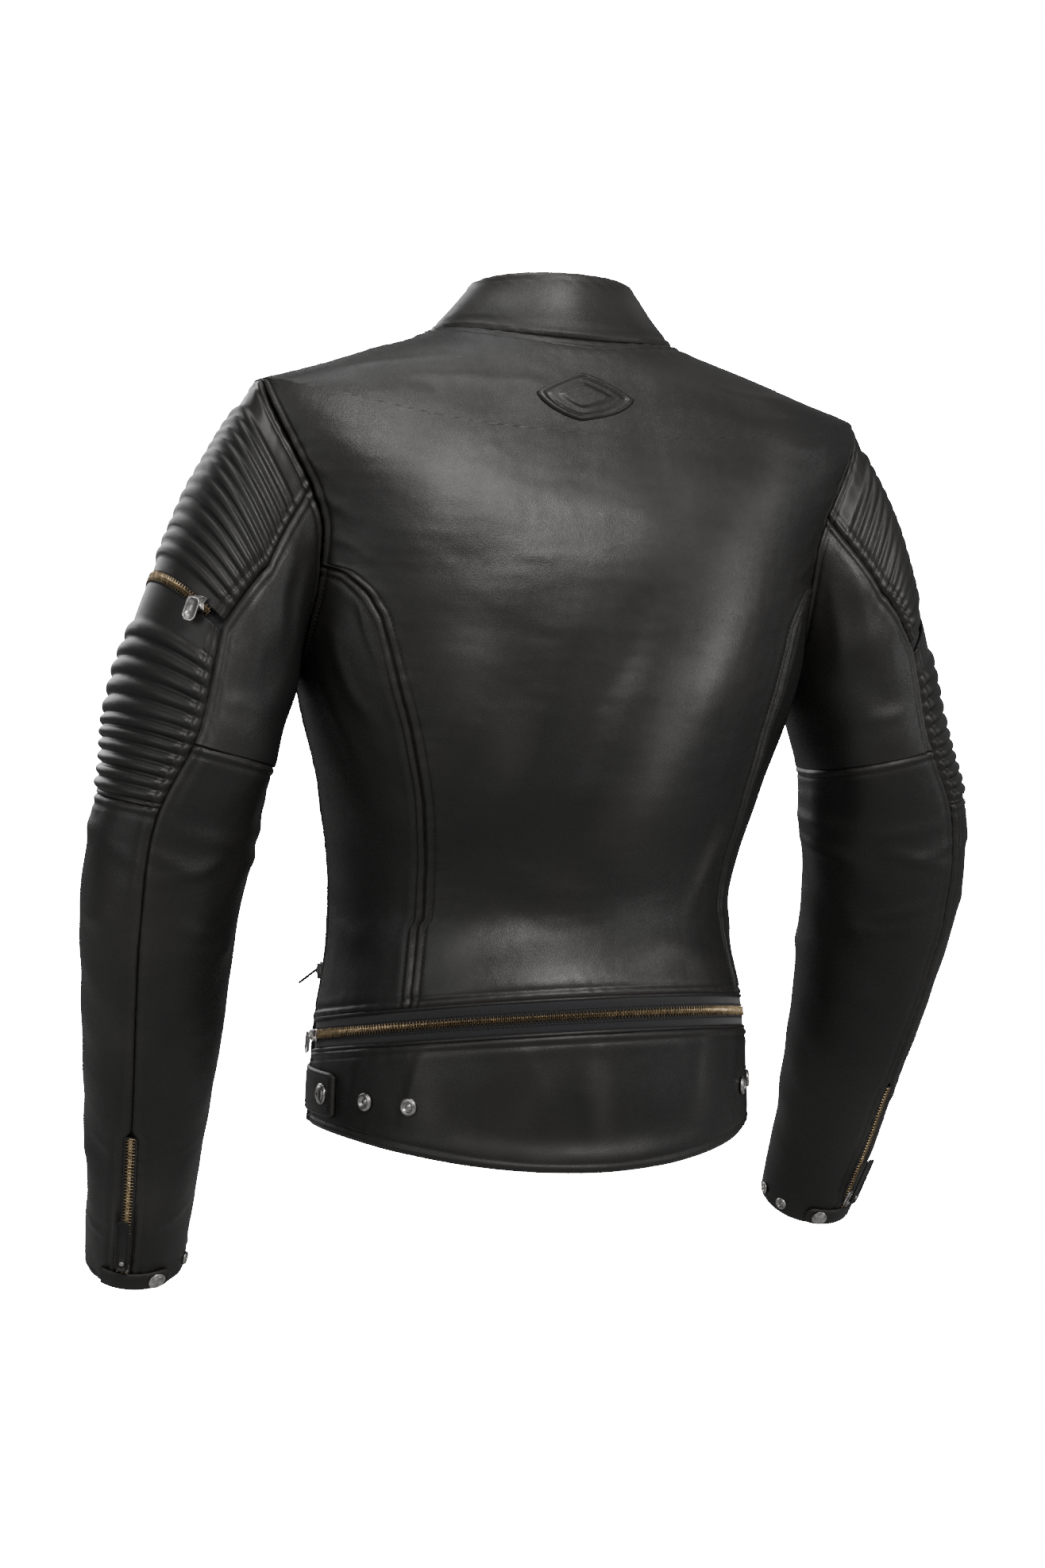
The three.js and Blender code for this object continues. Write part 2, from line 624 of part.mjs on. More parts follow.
// Hand pocket zips on the fronts: straight, closed downwards, each with a leather pull that stands off.
const pocketAround = 114;
const pocketTop = body(pocketAround, levelAt(pocketAround, -378));
const pocketLow = body(pocketAround, levelAt(pocketAround, -474));
const pocketUp = pocketTop.clone().sub(pocketLow);
const pocketLength = pocketUp.length();
pocketUp.normalize();
const pocketOut = outward(body, pocketAround, levelAt(pocketAround, -426));
pocketOut.addScaledVector(pocketUp, -pocketOut.dot(pocketUp)).normalize();
const pocketSide = new THREE.Vector3().crossVectors(pocketUp, pocketOut);
const pocketFrame = (alongZip, lift) => new THREE.Matrix4()
  .makeBasis(pocketSide, pocketUp, pocketOut)
  .setPosition(pocketLow.clone().addScaledVector(pocketUp, alongZip).addScaledVector(pocketOut, lift));
const pocketChain = new THREE.BoxGeometry(zipTeethWidth, pocketLength, tapeThick)
  .applyMatrix4(pocketFrame(pocketLength / 2, seat + tapeThick / 2));
const pocketPullLength = 17;
const pocketPullStandsOff = 50;
addPair('pocket_zip_chain', pocketChain, brass);
const pocketSlider = pocketFrame(sliderLength * 0.6, seat + tapeThick + sliderLift);
const pocketHinge = new THREE.Matrix4().makeTranslation(0, 0, pullLift + pullThick / 2)
  .multiply(new THREE.Matrix4().makeRotationX(-pocketPullStandsOff * radians))
  .multiply(new THREE.Matrix4().makeTranslation(0, 0, -pullThick / 2));
addPair('pocket_zip_slider', sliderShape.clone().applyMatrix4(pocketSlider), silver);
const pocketPull = pullShape(pocketPullLength).applyMatrix4(pocketSlider.clone().multiply(pocketHinge));
addPair('pocket_zip_pull', pocketPull, leather);

// Snap straps at the hem, from the front panels back over the side seams, and the studs they reach.
const strapZ = -backLength + strapAboveHem;
const strapTip = 76;
const strapRoot = 112;
const strapSnapAround = 81.5;
const waistStrapGrid = [-1, 0, 1].map((side) => spread(strapTip, strapRoot, 9).map((a) => (
  [a, levelAt(a, strapZ + side * waistStrapWidth / 2)]
)));
const waistStrap = wall(body, waistStrapGrid, seat + waistStrapThick, seat);
addPair('waist_strap', waistStrap, leather);
function snapShape(radius, height) {
  const profile = points(
    [0, 0],
    [radius, 0],
    [radius, height * 0.35],
    [radius * 0.86, height * 0.75],
    [radius * 0.45, height],
    [0, height],
  );
  return new THREE.LatheGeometry(profile, roundSteps).rotateX(Math.PI / 2);
}
function studShape(radius, height) {
  const profile = points(
    [0, 0],
    [radius, 0],
    [radius, height * 0.5],
    [radius * 0.8, height],
    [radius * 0.5, height],
    [radius * 0.42, height * 0.35],
    [0, height * 0.35],
  );
  return new THREE.LatheGeometry(profile, roundSteps).rotateX(Math.PI / 2);
}
const onStrap = seat + waistStrapThick + seat;
const waistSnapFrame = frameOn(body, strapSnapAround, levelAt(strapSnapAround, strapZ), onStrap);
addPair('waist_snap', snapShape(snapRadius, snapHeight).applyMatrix4(waistSnapFrame), silver);
const waistStuds = { outer: 64, inner: 50.5 };
for (const [place, around] of Object.entries(waistStuds)) {
  const studFrame = frameOn(body, around, levelAt(around, strapZ), seat);
  addPair(`waist_stud_${place}`, studShape(studRadius, studHeight).applyMatrix4(studFrame), silver);
}

// Sleeve panels. The ribbed panels lie outermost, between the front and the rear sleeve seams.
const ribTurns = [75, 76, 60, 65, ribRearAngle];
const ribTurn = (level) => {
  const k = Math.min(Math.floor(level), ribTurns.length - 2);
  const f = Math.min(level - k, 1);
  return ribTurns[k] + (ribTurns[k + 1] - ribTurns[k]) * f;
};
const levelStep = (turn, level, distance) => (
  distance / sleeve(turn, level + 0.01).distanceTo(sleeve(turn, level - 0.01)) * 0.02
);
const turnStep = (turn, level, distance) => (
  distance / sleeve(turn + 1, level).distanceTo(sleeve(turn - 1, level)) * 2
);
const pocketGap = zipTeethWidth / 2 + 0.6;
const upperLip = (turn) => sleevePocketStation - levelStep(turn, sleevePocketStation, pocketGap);
const lowerLip = (turn) => sleevePocketStation + levelStep(turn, sleevePocketStation, pocketGap);
const shoulderLevels = [0, 0.45, 0.9, 1.4, upperLip];
const elbowLevels = [lowerLip, 2.6, 3.3, 4, elbowStation];
const levelOf = (level, turn) => (typeof level === 'function' ? level(turn) : level);
const ribGrid = (levels, columns) => levels.map((level) => {
  const half = ribTurn(levelOf(level, ribTurn(sleevePocketStation)));
  return spread(-half, half, columns).map((turn) => [turn, levelOf(level, turn)]);
});
const ribColumns = 2 * ribTurns[0] / armholeStep;
const ribInset = { start: seamHalf, finish: seamHalf, low: seamHalf };
const ribMitre = (j, i) => (j === 0 ? armholeMitre(-ribTurns[0] + armholeStep * i) : null);
const shoulderRibs = insetGrid(sleeve, ribGrid(shoulderLevels, ribColumns), ribInset);
addPair('shoulder_rib_panel', wall(sleeve, shoulderRibs, 0, -leatherThick, ribMitre), ribbedLeather);
const elbowRibs = insetGrid(sleeve, ribGrid(elbowLevels, 8), { start: seamHalf, finish: seamHalf });
addPair('elbow_rib_panel', wall(sleeve, elbowRibs, 0, -leatherThick), ribbedLeather);
const upperGrid = [...shoulderLevels, ...elbowLevels].map((run) => {
  const level = levelOf(run, ribTurn(sleevePocketStation));
  return spread(ribTurn(level), 360 - ribTurn(level), (360 - 2 * ribTurns[0]) / armholeStep)
    .map((turn) => [turn, level]);
});
const upperMitre = (j, i) => (j === 0 ? armholeMitre(ribTurns[0] + armholeStep * i) : null);
const upperSleeve = wall(sleeve, insetGrid(sleeve, upperGrid, ribInset), 0, -leatherThick, upperMitre);
addPair('upper_sleeve_panel', upperSleeve, leather);
const shoulderPadGrid = spread(0.7, 1.8, 4).map((level) => spread(-42, 42, 6).map((a) => [a, level]));
addPair('shoulder_armour', wall(sleeve, shoulderPadGrid, padOuter, padOuter - padThick), foam);

// The sleeve is cut at the elbow. In front of the hinge the forearm's edge falls away at the flex angle,
// so that the arm can bend.
const elbowRing = spread(0, 330, 11).map((turn) => sleeve(turn, elbowStation));
const elbowMiddle = elbowRing.reduce((sum, p) => sum.add(p), new THREE.Vector3())
  .divideScalar(elbowRing.length);
const hingeY = elbowMiddle.y - elbowPivotForward;
const forearmStart = (turn) => {
  const ahead = Math.max(0, hingeY - sleeve(turn, elbowStation).y);
  const drop = seamGap + Math.tan((elbowFlex + 2) * radians) * ahead;
  return elbowStation + levelStep(turn, elbowStation + 0.3, drop);
};
const cuffZipTop = 7.87;
const cuffGap = zipTeethWidth / 2 + 1.2;
const forearmRuns = [...spread(0, 1, 3), 6.9, cuffZipTop - 0.08, cuffZipTop, 9, 10, cuffLevel];
const wedgeEnd = 6;
const forearmGrid = forearmRuns.map((run, j) => {
  const near = j > 3 ? run : wedgeEnd;
  const open = turnStep(ribRearAngle, near, run >= cuffZipTop ? cuffGap : seamHalf);
  return spread(ribRearAngle + open, ribRearAngle + 360 - open, 18).map((turn) => (
    [turn, j > 3 ? run : forearmStart(turn) + (wedgeEnd - forearmStart(turn)) * run]
  ));
});
addPair('forearm_panel', wall(sleeve, forearmGrid, 0, -leatherThick), leather);
const elbowPadGrid = spread(5.15, 6.7, 5).map((level) => spread(5, 105, 6).map((a) => [a, level]));
addPair('elbow_armour', wall(sleeve, elbowPadGrid, padOuter, padOuter - padThick), foam);

// The sleeve pocket's zip curves round the left sleeve on a circle.
const sleeveChainGrid = [-1, 1].map((side) => (
  spread(-sleevePocketHalfSweep, sleevePocketHalfSweep, 12).map((turn) => (
    [turn, sleevePocketStation + side * levelStep(turn, sleevePocketStation, zipTeethWidth / 2)]
  ))
));
const sleeveChainOuter = 0.2;
const sleeveChain = wall(sleeve, sleeveChainGrid, sleeveChainOuter, sleeveChainOuter - tapeThick);
add('left_sleeve_pocket_zip_chain', sleeveChain, brass);
const sleeveSliderTurn = 41;
const sleeveSliderLift = sleeveChainOuter + sliderLift;
const sleeveSlider = frameOn(sleeve, sleeveSliderTurn, sleevePocketStation, sleeveSliderLift, 90);
addZipEnd('left_sleeve_pocket_zip', sleeveSlider, 90, metalPullLength, silver);

// The cuff zips, the cuff straps with their snaps, and the studs.
const cuffChainGrid = spread(cuffZipTop + 0.03, cuffLevel - 0.05, 5).map((level) => {
  const half = turnStep(ribRearAngle, level, zipTeethWidth / 2);
  return [ribRearAngle - half, ribRearAngle + half].map((turn) => [turn, level]);
});
const cuffChainOuter = -0.6;
addPair('cuff_zip_chain', wall(sleeve, cuffChainGrid, cuffChainOuter, cuffChainOuter - tapeThick), brass);
const cuffStrapFoot = cuffLevel - 0.06;
const cuffStrapEdge = cuffStrapFoot - levelStep(ribRearAngle, cuffStrapFoot - 0.3, cuffStrapWidth);
const cuffSliderDrop = sliderLength / 2 + cuffSliderGap;
const cuffSliderLevel = cuffStrapEdge - levelStep(ribRearAngle, cuffStrapEdge - 0.3, cuffSliderDrop);
const cuffPathRise = 0.3; // the slider's path is straight, and the zip under it bulges a little
const cuffSlider = frameOn(sleeve, ribRearAngle, cuffSliderLevel, cuffChainOuter + sliderLift + cuffPathRise);
addPair('cuff_zip_slider', sliderShape.clone().applyMatrix4(cuffSlider), silver);
const cuffHang = new THREE.Matrix4().makeTranslation(0, 0, pullLift);
const cuffPull = pullShape(leatherPullLength).applyMatrix4(cuffSlider.clone().multiply(cuffHang));
addPair('cuff_zip_pull', cuffPull, leather);
const cuffStrapRoot = 40;
const cuffStrapTip = 118;
const cuffStrapGrid = spread(cuffStrapRoot, cuffStrapTip, 10).map((turn) => (
  [cuffStrapFoot - levelStep(turn, cuffStrapFoot - 0.3, cuffStrapWidth), cuffStrapFoot]
    .map((level) => [turn, level])
));
addPair('cuff_strap', wall(sleeve, cuffStrapGrid, seat + cuffStrapThick, seat), leather);
const cuffMiddleLevel = cuffStrapFoot - levelStep(90, cuffStrapFoot - 0.3, cuffStrapWidth / 2);
const cuffSnapFrame = frameOn(sleeve, 101, cuffMiddleLevel, seat + cuffStrapThick + seat);
addPair('cuff_snap', snapShape(cuffSnapRadius, snapHeight).applyMatrix4(cuffSnapFrame), silver);
const cuffStuds = { outer: 152, inner: 188 };
for (const [place, turn] of Object.entries(cuffStuds)) {
  const studFrame = frameOn(sleeve, turn, cuffMiddleLevel, seat);
  addPair(`cuff_stud_${place}`, studShape(cuffStudRadius, studHeight).applyMatrix4(studFrame), silver);
}

// The hanger loop stands inside the collar at the back. The hook bears on the loop's underside.
const loopHalf = hangerLoopWidth / 2;
const loopFoot = rings[neckLevel].backZ;
const loopUnder = loopFoot + hangerLoopDrop;
const loopTop = loopUnder + hangerLoopThick;
const loopOutline = points(
  [-loopHalf, loopFoot],
  [-loopHalf + hangerLoopThick, loopFoot],
  [-loopHalf + hangerLoopThick, loopUnder],
  [loopHalf - hangerLoopThick, loopUnder],
  [loopHalf - hangerLoopThick, loopFoot],
  [loopHalf, loopFoot],
  [loopHalf, loopTop],
  [-loopHalf, loopTop],
);
const loopDepth = 9;
const collarShare = (loopTop - rings[neckLevel].backZ) / (collarTop.backZ - rings[neckLevel].backZ);
const loopAround = Math.asin(loopHalf / (neckHalf + (collarTopHalf - neckHalf) * collarShare)) / radians;
const collarInside = collarAt(loopAround, collarShare)
  .addScaledVector(outward(collarAt, loopAround, collarShare), -collarThick);
const loopBackY = collarInside.y - collarSeamGap * 0.8;
const loopShape = extruded(loopOutline, loopDepth)
  .rotateX(Math.PI / 2)
  .translate(0, loopBackY, 0);
add('hanger_loop', loopShape, cloth);

// The origin is where the hook bears: on the underside of the loop, in the middle.
jacket.position.set(0, -(loopBackY - loopDepth / 2), -loopUnder);

export default jacket;
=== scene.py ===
"""A fitted leather riding jacket, seen from behind as if worn: leather panels, padded ribs on the
shoulders and elbows, a zip round the waist, zipped cuffs, snap straps and a stand collar.
Metres, +Z up, +X towards the wearer's left hand, +Y out of the wearer's back."""
import math

import bpy
import numpy as np
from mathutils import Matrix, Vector


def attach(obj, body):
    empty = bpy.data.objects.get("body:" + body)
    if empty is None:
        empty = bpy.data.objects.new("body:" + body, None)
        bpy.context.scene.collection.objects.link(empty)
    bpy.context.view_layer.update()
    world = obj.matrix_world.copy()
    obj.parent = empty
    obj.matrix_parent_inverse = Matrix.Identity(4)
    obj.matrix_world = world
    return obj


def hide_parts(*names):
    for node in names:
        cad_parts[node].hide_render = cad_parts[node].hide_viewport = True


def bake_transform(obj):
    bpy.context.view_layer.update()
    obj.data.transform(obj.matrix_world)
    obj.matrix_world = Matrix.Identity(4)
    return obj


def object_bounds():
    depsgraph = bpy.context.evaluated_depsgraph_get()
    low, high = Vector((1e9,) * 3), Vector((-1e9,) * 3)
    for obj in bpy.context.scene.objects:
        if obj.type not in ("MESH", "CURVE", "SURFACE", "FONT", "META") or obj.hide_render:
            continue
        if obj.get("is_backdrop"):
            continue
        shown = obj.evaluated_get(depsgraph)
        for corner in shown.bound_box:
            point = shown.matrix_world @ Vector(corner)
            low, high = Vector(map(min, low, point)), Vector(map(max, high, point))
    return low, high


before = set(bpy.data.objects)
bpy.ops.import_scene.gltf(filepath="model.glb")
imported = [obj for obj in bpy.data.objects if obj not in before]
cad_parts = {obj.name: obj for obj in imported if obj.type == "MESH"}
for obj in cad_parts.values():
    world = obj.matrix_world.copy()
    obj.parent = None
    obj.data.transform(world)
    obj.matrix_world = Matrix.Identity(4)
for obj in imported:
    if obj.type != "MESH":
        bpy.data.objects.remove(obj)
cad_low, cad_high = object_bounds()

# ---------------------------------------------------------------------------------------------------
# Camera: level with the waist, behind the jacket and a little towards its left side.
camera_turn = math.radians(22.5)
camera_distance = 1.5
camera_side = 0.022
camera_height = -0.330
jacket_middle_y = -0.0482
camera_data = bpy.data.cameras.new("camera")
camera_data.lens = 46.39
camera_data.sensor_width = 36
camera = bpy.data.objects.new("camera", camera_data)
away = Vector((math.sin(camera_turn), math.cos(camera_turn), 0))
aside = Vector((math.cos(camera_turn), -math.sin(camera_turn), 0))
camera.location = away * camera_distance + aside * camera_side + Vector((0, jacket_middle_y, camera_height))
camera.rotation_mode = "QUATERNION"
camera.rotation_quaternion = (-away).to_track_quat("-Z", "Y")
bpy.context.scene.collection.objects.link(camera)
bpy.context.scene.camera = camera

# ---------------------------------------------------------------------------------------------------
# Studio: a pale floor, a white surround, and large soft lights behind the jacket and over it.


def area_light(name, place, aim, size, power, colour=(1, 1, 1)):
    light = bpy.data.lights.new(name, "AREA")
    light.shape = "RECTANGLE"
    light.size, light.size_y = size
    light.energy = power
    light.color = colour
    lamp = bpy.data.objects.new(name, light)
    lamp.location = place
    lamp.rotation_mode = "QUATERNION"
    lamp.rotation_quaternion = (Vector(aim) - Vector(place)).to_track_quat("-Z", "Y")
    bpy.context.scene.collection.objects.link(lamp)
    return lamp


back_middle = (0, 0.05, -0.28)
area_light("key_softbox", (0.12, 2.05, 1.2), back_middle, (1.3, 0.55), 52, (1, 0.975, 0.95))
area_light("side_softbox", (-1.9, 1.5, 0.05), back_middle, (0.5, 1.5), 11)
area_light("far_side_softbox", (2.3, 1.0, 0.3), back_middle, (0.9, 1.6), 13)
area_light("top_softbox", (0.1, 0.1, 1.9), back_middle, (1.4, 0.8), 15)
area_light("front_softbox", (0.6, -2.4, 0.8), (0, 0, -0.3), (1.5, 1.5), 32)

white_strength = 40.0  # what a camera ray sees has to be this bright to come out white
world = bpy.data.worlds.new("white_surround")
world.use_nodes = True
sky = world.node_tree
sky.nodes["Background"].inputs["Color"].default_value = (1, 1, 1, 1)
sky.nodes["Background"].inputs["Strength"].default_value = 0.24
seen = sky.nodes.new("ShaderNodeBackground")
seen.inputs["Strength"].default_value = white_strength
seen.inputs["Color"].default_value = (1, 1, 1, 1)
ray = sky.nodes.new("ShaderNodeLightPath")
either = sky.nodes.new("ShaderNodeMixShader")
sky.links.new(ray.outputs["Is Camera Ray"], either.inputs[0])
sky.links.new(sky.nodes["Background"].outputs[0], either.inputs[1])
sky.links.new(seen.outputs[0], either.inputs[2])
sky.links.new(either.outputs[0], sky.nodes["World Output"].inputs["Surface"])
bpy.context.scene.world = world

floor_half = 30.0
floor_z = cad_low.z - 0.22
floor_mesh = bpy.data.meshes.new("floor")
floor_corners = ((-1, -1), (1, -1), (1, 1), (-1, 1))
floor_mesh.from_pydata(
    [(x * floor_half, y * floor_half, floor_z) for x, y in floor_corners], [], [(0, 1, 2, 3)])
floor = bpy.data.objects.new("floor", floor_mesh)
floor_paint = bpy.data.materials.new("pale_floor")
floor_paint.use_nodes = True
floor_tree = floor_paint.node_tree
floor_shader = floor_tree.nodes["Principled BSDF"]
floor_shader.inputs["Base Color"].default_value = (0.3, 0.3, 0.3, 1)
floor_shader.inputs["Roughness"].default_value = 0.9
floor_shader.inputs["Emission Color"].default_value = (1, 1, 1, 1)
floor_glow = floor_tree.nodes.new("ShaderNodeMath")
floor_glow.operation = "MULTIPLY_ADD"
floor_glow.inputs[1].default_value = white_strength
floor_glow.inputs[2].default_value = 0.03
floor_ray = floor_tree.nodes.new("ShaderNodeLightPath")
floor_tree.links.new(floor_ray.outputs["Is Camera Ray"], floor_glow.inputs[0])
floor_tree.links.new(floor_glow.outputs[0], floor_shader.inputs["Emission Strength"])
floor_mesh.materials.append(floor_paint)
bpy.context.scene.collection.objects.link(floor)
floor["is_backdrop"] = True

# ---------------------------------------------------------------------------------------------------
# Back panel: one large piece from the waist zip to the collar, cut in to the two curved rear seams and
# the armholes. It is worn soft, with broad slanting folds across the blades and the small of the back.
# Its shape is that of the worn jacket: rounded rings from hem to neck with an armhole at each side.
MM = 0.001
neck_seam = np.array([0, -48.181, -5.0]) * MM  # from the hook's bearing point to the neck seam's height
body_rings = [
    # half width, middle, back depth, side height, back height, front height, squareness
    (170, -52, 160, -575, -594, -545, 2.05),
    (166, -52, 164.15, -509, -484, -525, 2.0),
    (156, -47, 137, -420, -412, -425, 2.0),
    (171, -18, 129, -330, -325, -335, 2.05),
    (194, 2, 116, -245, -240, -255, 2.15),
    (201, 22, 91, -150, -150, -185, 2.3),
    (232, 31, 56, -48, -80, -125, 2.3),
    (150, 22, 54, -20, -36, -95, 2.2),
    (95, -2, 67, 3, -8, -75, 2.0),
]
collar_top_ring = (60, -5, 57, 44, 42, -25, 2.0)
zip_ring = 1
shoulder_ring = 6
neck_ring = 8
front_arc = (1266.33, -501.38, 1417.0)  # middle and radius of the front edge, seen from the side


def front_edge_y(z):
    """The front edge is an arc: y = middle - sqrt(radius squared - (z - middle height) squared)."""
    return front_arc[0] - math.sqrt(front_arc[2] ** 2 - (z - front_arc[1]) ** 2)


def smooth_line(stations, t, corner=-1, straight=0.0):
    """A cubic through stations (K, N, 3), read at t (N). Each tangent is the mean of the slopes before
    and after, weighted by the spans; at the corner station it turns towards the straight chord."""
    last = len(stations) - 1
    k = np.clip(np.floor(t).astype(int), 0, last - 1)
    f = (t - k)[:, None]
    column = np.arange(len(t))
    before, start, end, after = (stations[np.clip(k + i, 0, last), column] for i in (-1, 0, 1, 2))
    spans = [np.linalg.norm(q - p, axis=1)[:, None] + 1e-12
             for p, q in ((before, start), (start, end), (end, after))]
    slope_in = ((start - before) / spans[0] * spans[1] + (end - start) / spans[1] * spans[0])
    slope_in = slope_in / (spans[0] + spans[1]) * spans[1]
    slope_out = ((end - start) / spans[1] * spans[2] + (after - end) / spans[2] * spans[1])
    slope_out = slope_out / (spans[1] + spans[2]) * spans[1]
    slope_in = np.where((k == 0)[:, None], end - start, slope_in)
    slope_out = np.where((k == last - 1)[:, None], end - start, slope_out)
    bend = (np.asarray(straight) * (k == corner))[:, None]
    slope_in = slope_in * (1 - bend) + (end - start) * bend
    return ((2 * f**3 - 3 * f**2 + 1) * start + (f**3 - 2 * f**2 + f) * slope_in
            + (3 * f**2 - 2 * f**3) * end + (f**3 - f**2) * slope_out)


def on_ring(ring, angle):
    """A rounded oval: x = half sin, y = middle + depth cos, both to a power, and z eases between the
    side height and the back or front height with the square of the cosine."""
    half, middle, back, side_z, back_z, front_z, squareness = ring
    s, c = np.sin(angle), np.cos(angle)
    power = 2 / squareness
    depth = np.where(c > 0, back, middle - front_edge_y(front_z))
    share = np.abs(c) if ring is body_rings[zip_ring] else c * c
    x = half * np.sign(s) * np.abs(s) ** power
    y = middle + depth * np.sign(c) * np.abs(c) ** power
    z = side_z + (np.where(c > 0, back_z, front_z) - side_z) * share
    return np.stack([x, y, z], -1)


def body(around, level):
    """The body: around is degrees from the middle of the back towards +X, level counts the rings."""
    around, level = np.broadcast_arrays(np.asarray(around, float), np.asarray(level, float))
    angle = np.radians(around.ravel())
    stations = np.stack([on_ring(ring, angle) for ring in body_rings])
    line = smooth_line(stations, level.ravel(), shoulder_ring, np.sin(angle) ** 4)
    return line.reshape(around.shape + (3,)) * MM + neck_seam


def collar_at(around, height):
    """The stand collar: a straight run from the neck seam, at height 0, to the top ring, at height 1."""
    around, height = np.broadcast_arrays(np.asarray(around, float), np.asarray(height, float))
    top = on_ring(collar_top_ring, np.radians(around)) * MM + neck_seam
    low = body(around, float(neck_ring))
    return low + (top - low) * height[..., None]


def armhole(turn):
    """The armhole on the body: turn 0 is the shoulder tip, 90 the back, 180 the underarm."""
    rise = 1 + np.cos(np.radians(turn))
    return 98 - 4 * rise - (18 + 3 * rise) * np.sin(np.radians(turn)), 4 + rise


shoulder_tip = body(*armhole(0.0)).reshape(3)
underarm = body(*armhole(180.0)).reshape(3)
sleeve_fan = [  # outer point from the shoulder tip, inner point from the underarm, depth
    ((36, -3, -60), (10, 8, -21), 66),
    ((67, -9, -137), (18, 9, -41), None),
    ((95, -17, -227), (27, 9, -69), 73),
]
sleeve_rings = [  # middle from the shoulder tip, long half width, short half width
    ((50, -27, -296.8), 66, 54),
    ((58, -40, -357.3), 64, 52),
    ((58, -57, -407.1), 60, 49),
    ((57, -77, -461.9), 53, 47),
    ((56, -98, -512.0), 47.5, 43.5),
    ((55, -119, -561.8), 43, 39),
    ((54, -140, -602.4), 40, 37.5),
    ((53, -153, -630.0), 36.5, 36.5),
]
long_axis_turn = np.radians(50)
cuff_level = 11


def unit(v):
    return v / np.maximum(np.linalg.norm(v, axis=-1, keepdims=True), 1e-12)


def sleeve(turn, level):
    """The left sleeve: turn is degrees from its outermost line towards the back, level counts rings
    from the armhole (0) to the cuff (11). The first rings fan out, the others are ovals."""
    turn, level = np.broadcast_arrays(np.asarray(turn, float), np.asarray(level, float))
    angle = np.radians(turn.ravel())
    c, s = np.cos(angle)[:, None], np.sin(angle)[:, None]
    rows = [body(*armhole(turn.ravel()))]
    for outer, inner, depth in sleeve_fan:
        high = shoulder_tip + np.array(outer) * MM
        low = underarm + np.array(inner) * MM
        middle, half = (high + low) / 2, (high - low) / 2
        way = unit(half)
        across = unit(np.array([0, 1.0, 0]) - way * way[1])
        reach = np.linalg.norm(half) if depth is None else depth * MM
        rows.append(middle + half * c + across * reach * s)
    middles = [(shoulder_tip + underarm + (np.array(sleeve_fan[2][0]) + np.array(sleeve_fan[2][1])) * MM) / 2]
    middles += [shoulder_tip + np.array(place) * MM for place, _, _ in sleeve_rings]
    for i, (_, wide, narrow) in enumerate(sleeve_rings):
        run = unit(middles[min(i + 2, len(middles) - 1)] - middles[i])
        out = unit(np.array([1.0, 0, 0]) - run * run[0])
        back = np.cross(run, out)
        back *= np.sign(back[1])
        off = angle - long_axis_turn
        radius = wide * narrow / np.hypot(narrow * np.cos(off), wide * np.sin(off)) * MM
        rows.append(middles[i + 1] + out * radius[:, None] * c + back * radius[:, None] * s)
    return smooth_line(np.stack(rows), level.ravel()).reshape(turn.shape + (3,))


def outward(surface, a, b):
    """The unit normal, from short steps along both parameters."""
    step_a = surface(a + 0.5, b) - surface(a - 0.5, b)
    step_b = surface(a, b + 0.01) - surface(a, np.maximum(b - 0.01, 0))
    return unit(np.cross(step_b, step_a))


def make_piece(name, points, faces, smooth=True, **values):
    """Puts vertices and faces into a mesh, turned so that its volume is positive."""
    points = np.asarray(points, float).reshape(-1, 3)
    faces = np.asarray(faces, np.int64)
    corners = [points[faces[:, i]] for i in range(faces.shape[1])]
    volume = sum(np.einsum("ij,ij->i", corners[0], np.cross(corners[i], corners[i + 1])).sum()
                 for i in range(1, len(corners) - 1))
    if volume < 0:
        faces = faces[:, ::-1]
    mesh = bpy.data.meshes.new(name)
    mesh.vertices.add(len(points))
    mesh.vertices.foreach_set("co", points.ravel().astype(np.float32))
    size = faces.shape[1]
    mesh.loops.add(faces.size)
    mesh.loops.foreach_set("vertex_index", faces.ravel().astype(np.int32))
    mesh.polygons.add(len(faces))
    mesh.polygons.foreach_set("loop_start", (np.arange(len(faces)) * size).astype(np.int32))
    mesh.polygons.foreach_set("use_smooth", np.full(len(faces), smooth))
    mesh.update(calc_edges=True)
    for label, value in values.items():
        layer = mesh.attributes.new(label, "FLOAT", "POINT")
        layer.data.foreach_set("value", np.asarray(value, np.float32).ravel())
    piece = bpy.data.objects.new(name, mesh)
    bpy.context.scene.collection.objects.link(piece)
    return piece


def grid_faces(rows, columns, first=0, wrap=False):
    """The quads of a grid of rows by columns vertices; wrap joins the last column to the first."""
    j, i = np.meshgrid(np.arange(rows - 1), np.arange(columns if wrap else columns - 1), indexing="ij")
    j, i = j.ravel(), i.ravel()
    k = (i + 1) % columns
    corners = [j * columns + i, j * columns + k, (j + 1) * columns + k, (j + 1) * columns + i]
    return first + np.stack(corners, 1)


def shell_faces(rows, columns):
    """The quads of a closed shell: an outer grid, an inner grid turned round, and four rims."""
    outer = grid_faces(rows, columns)
    inner = grid_faces(rows, columns)[:, ::-1] + rows * columns
    border = np.concatenate([
        np.arange(columns), np.arange(1, rows) * columns + columns - 1,
        (rows - 1) * columns + np.arange(columns - 2, -1, -1), np.arange(rows - 2, 0, -1) * columns])
    beyond = np.roll(border, -1)
    rim = np.stack([beyond, border, border + rows * columns, beyond + rows * columns], 1)
    return np.concatenate([outer, inner, rim])


def stops(length, fine=0.8 * MM, coarse=3.2 * MM):
    """Shares from 0 to 1 along a length, close together at both ends and wider in the middle."""
    places = [0.0]
    while places[-1] < length / 2:
        places.append(places[-1] + min(coarse, fine + 0.09 * places[-1]))
    half = np.array(places) / places[-1] / 2
    return np.concatenate([half, 1 - half[-2::-1]])


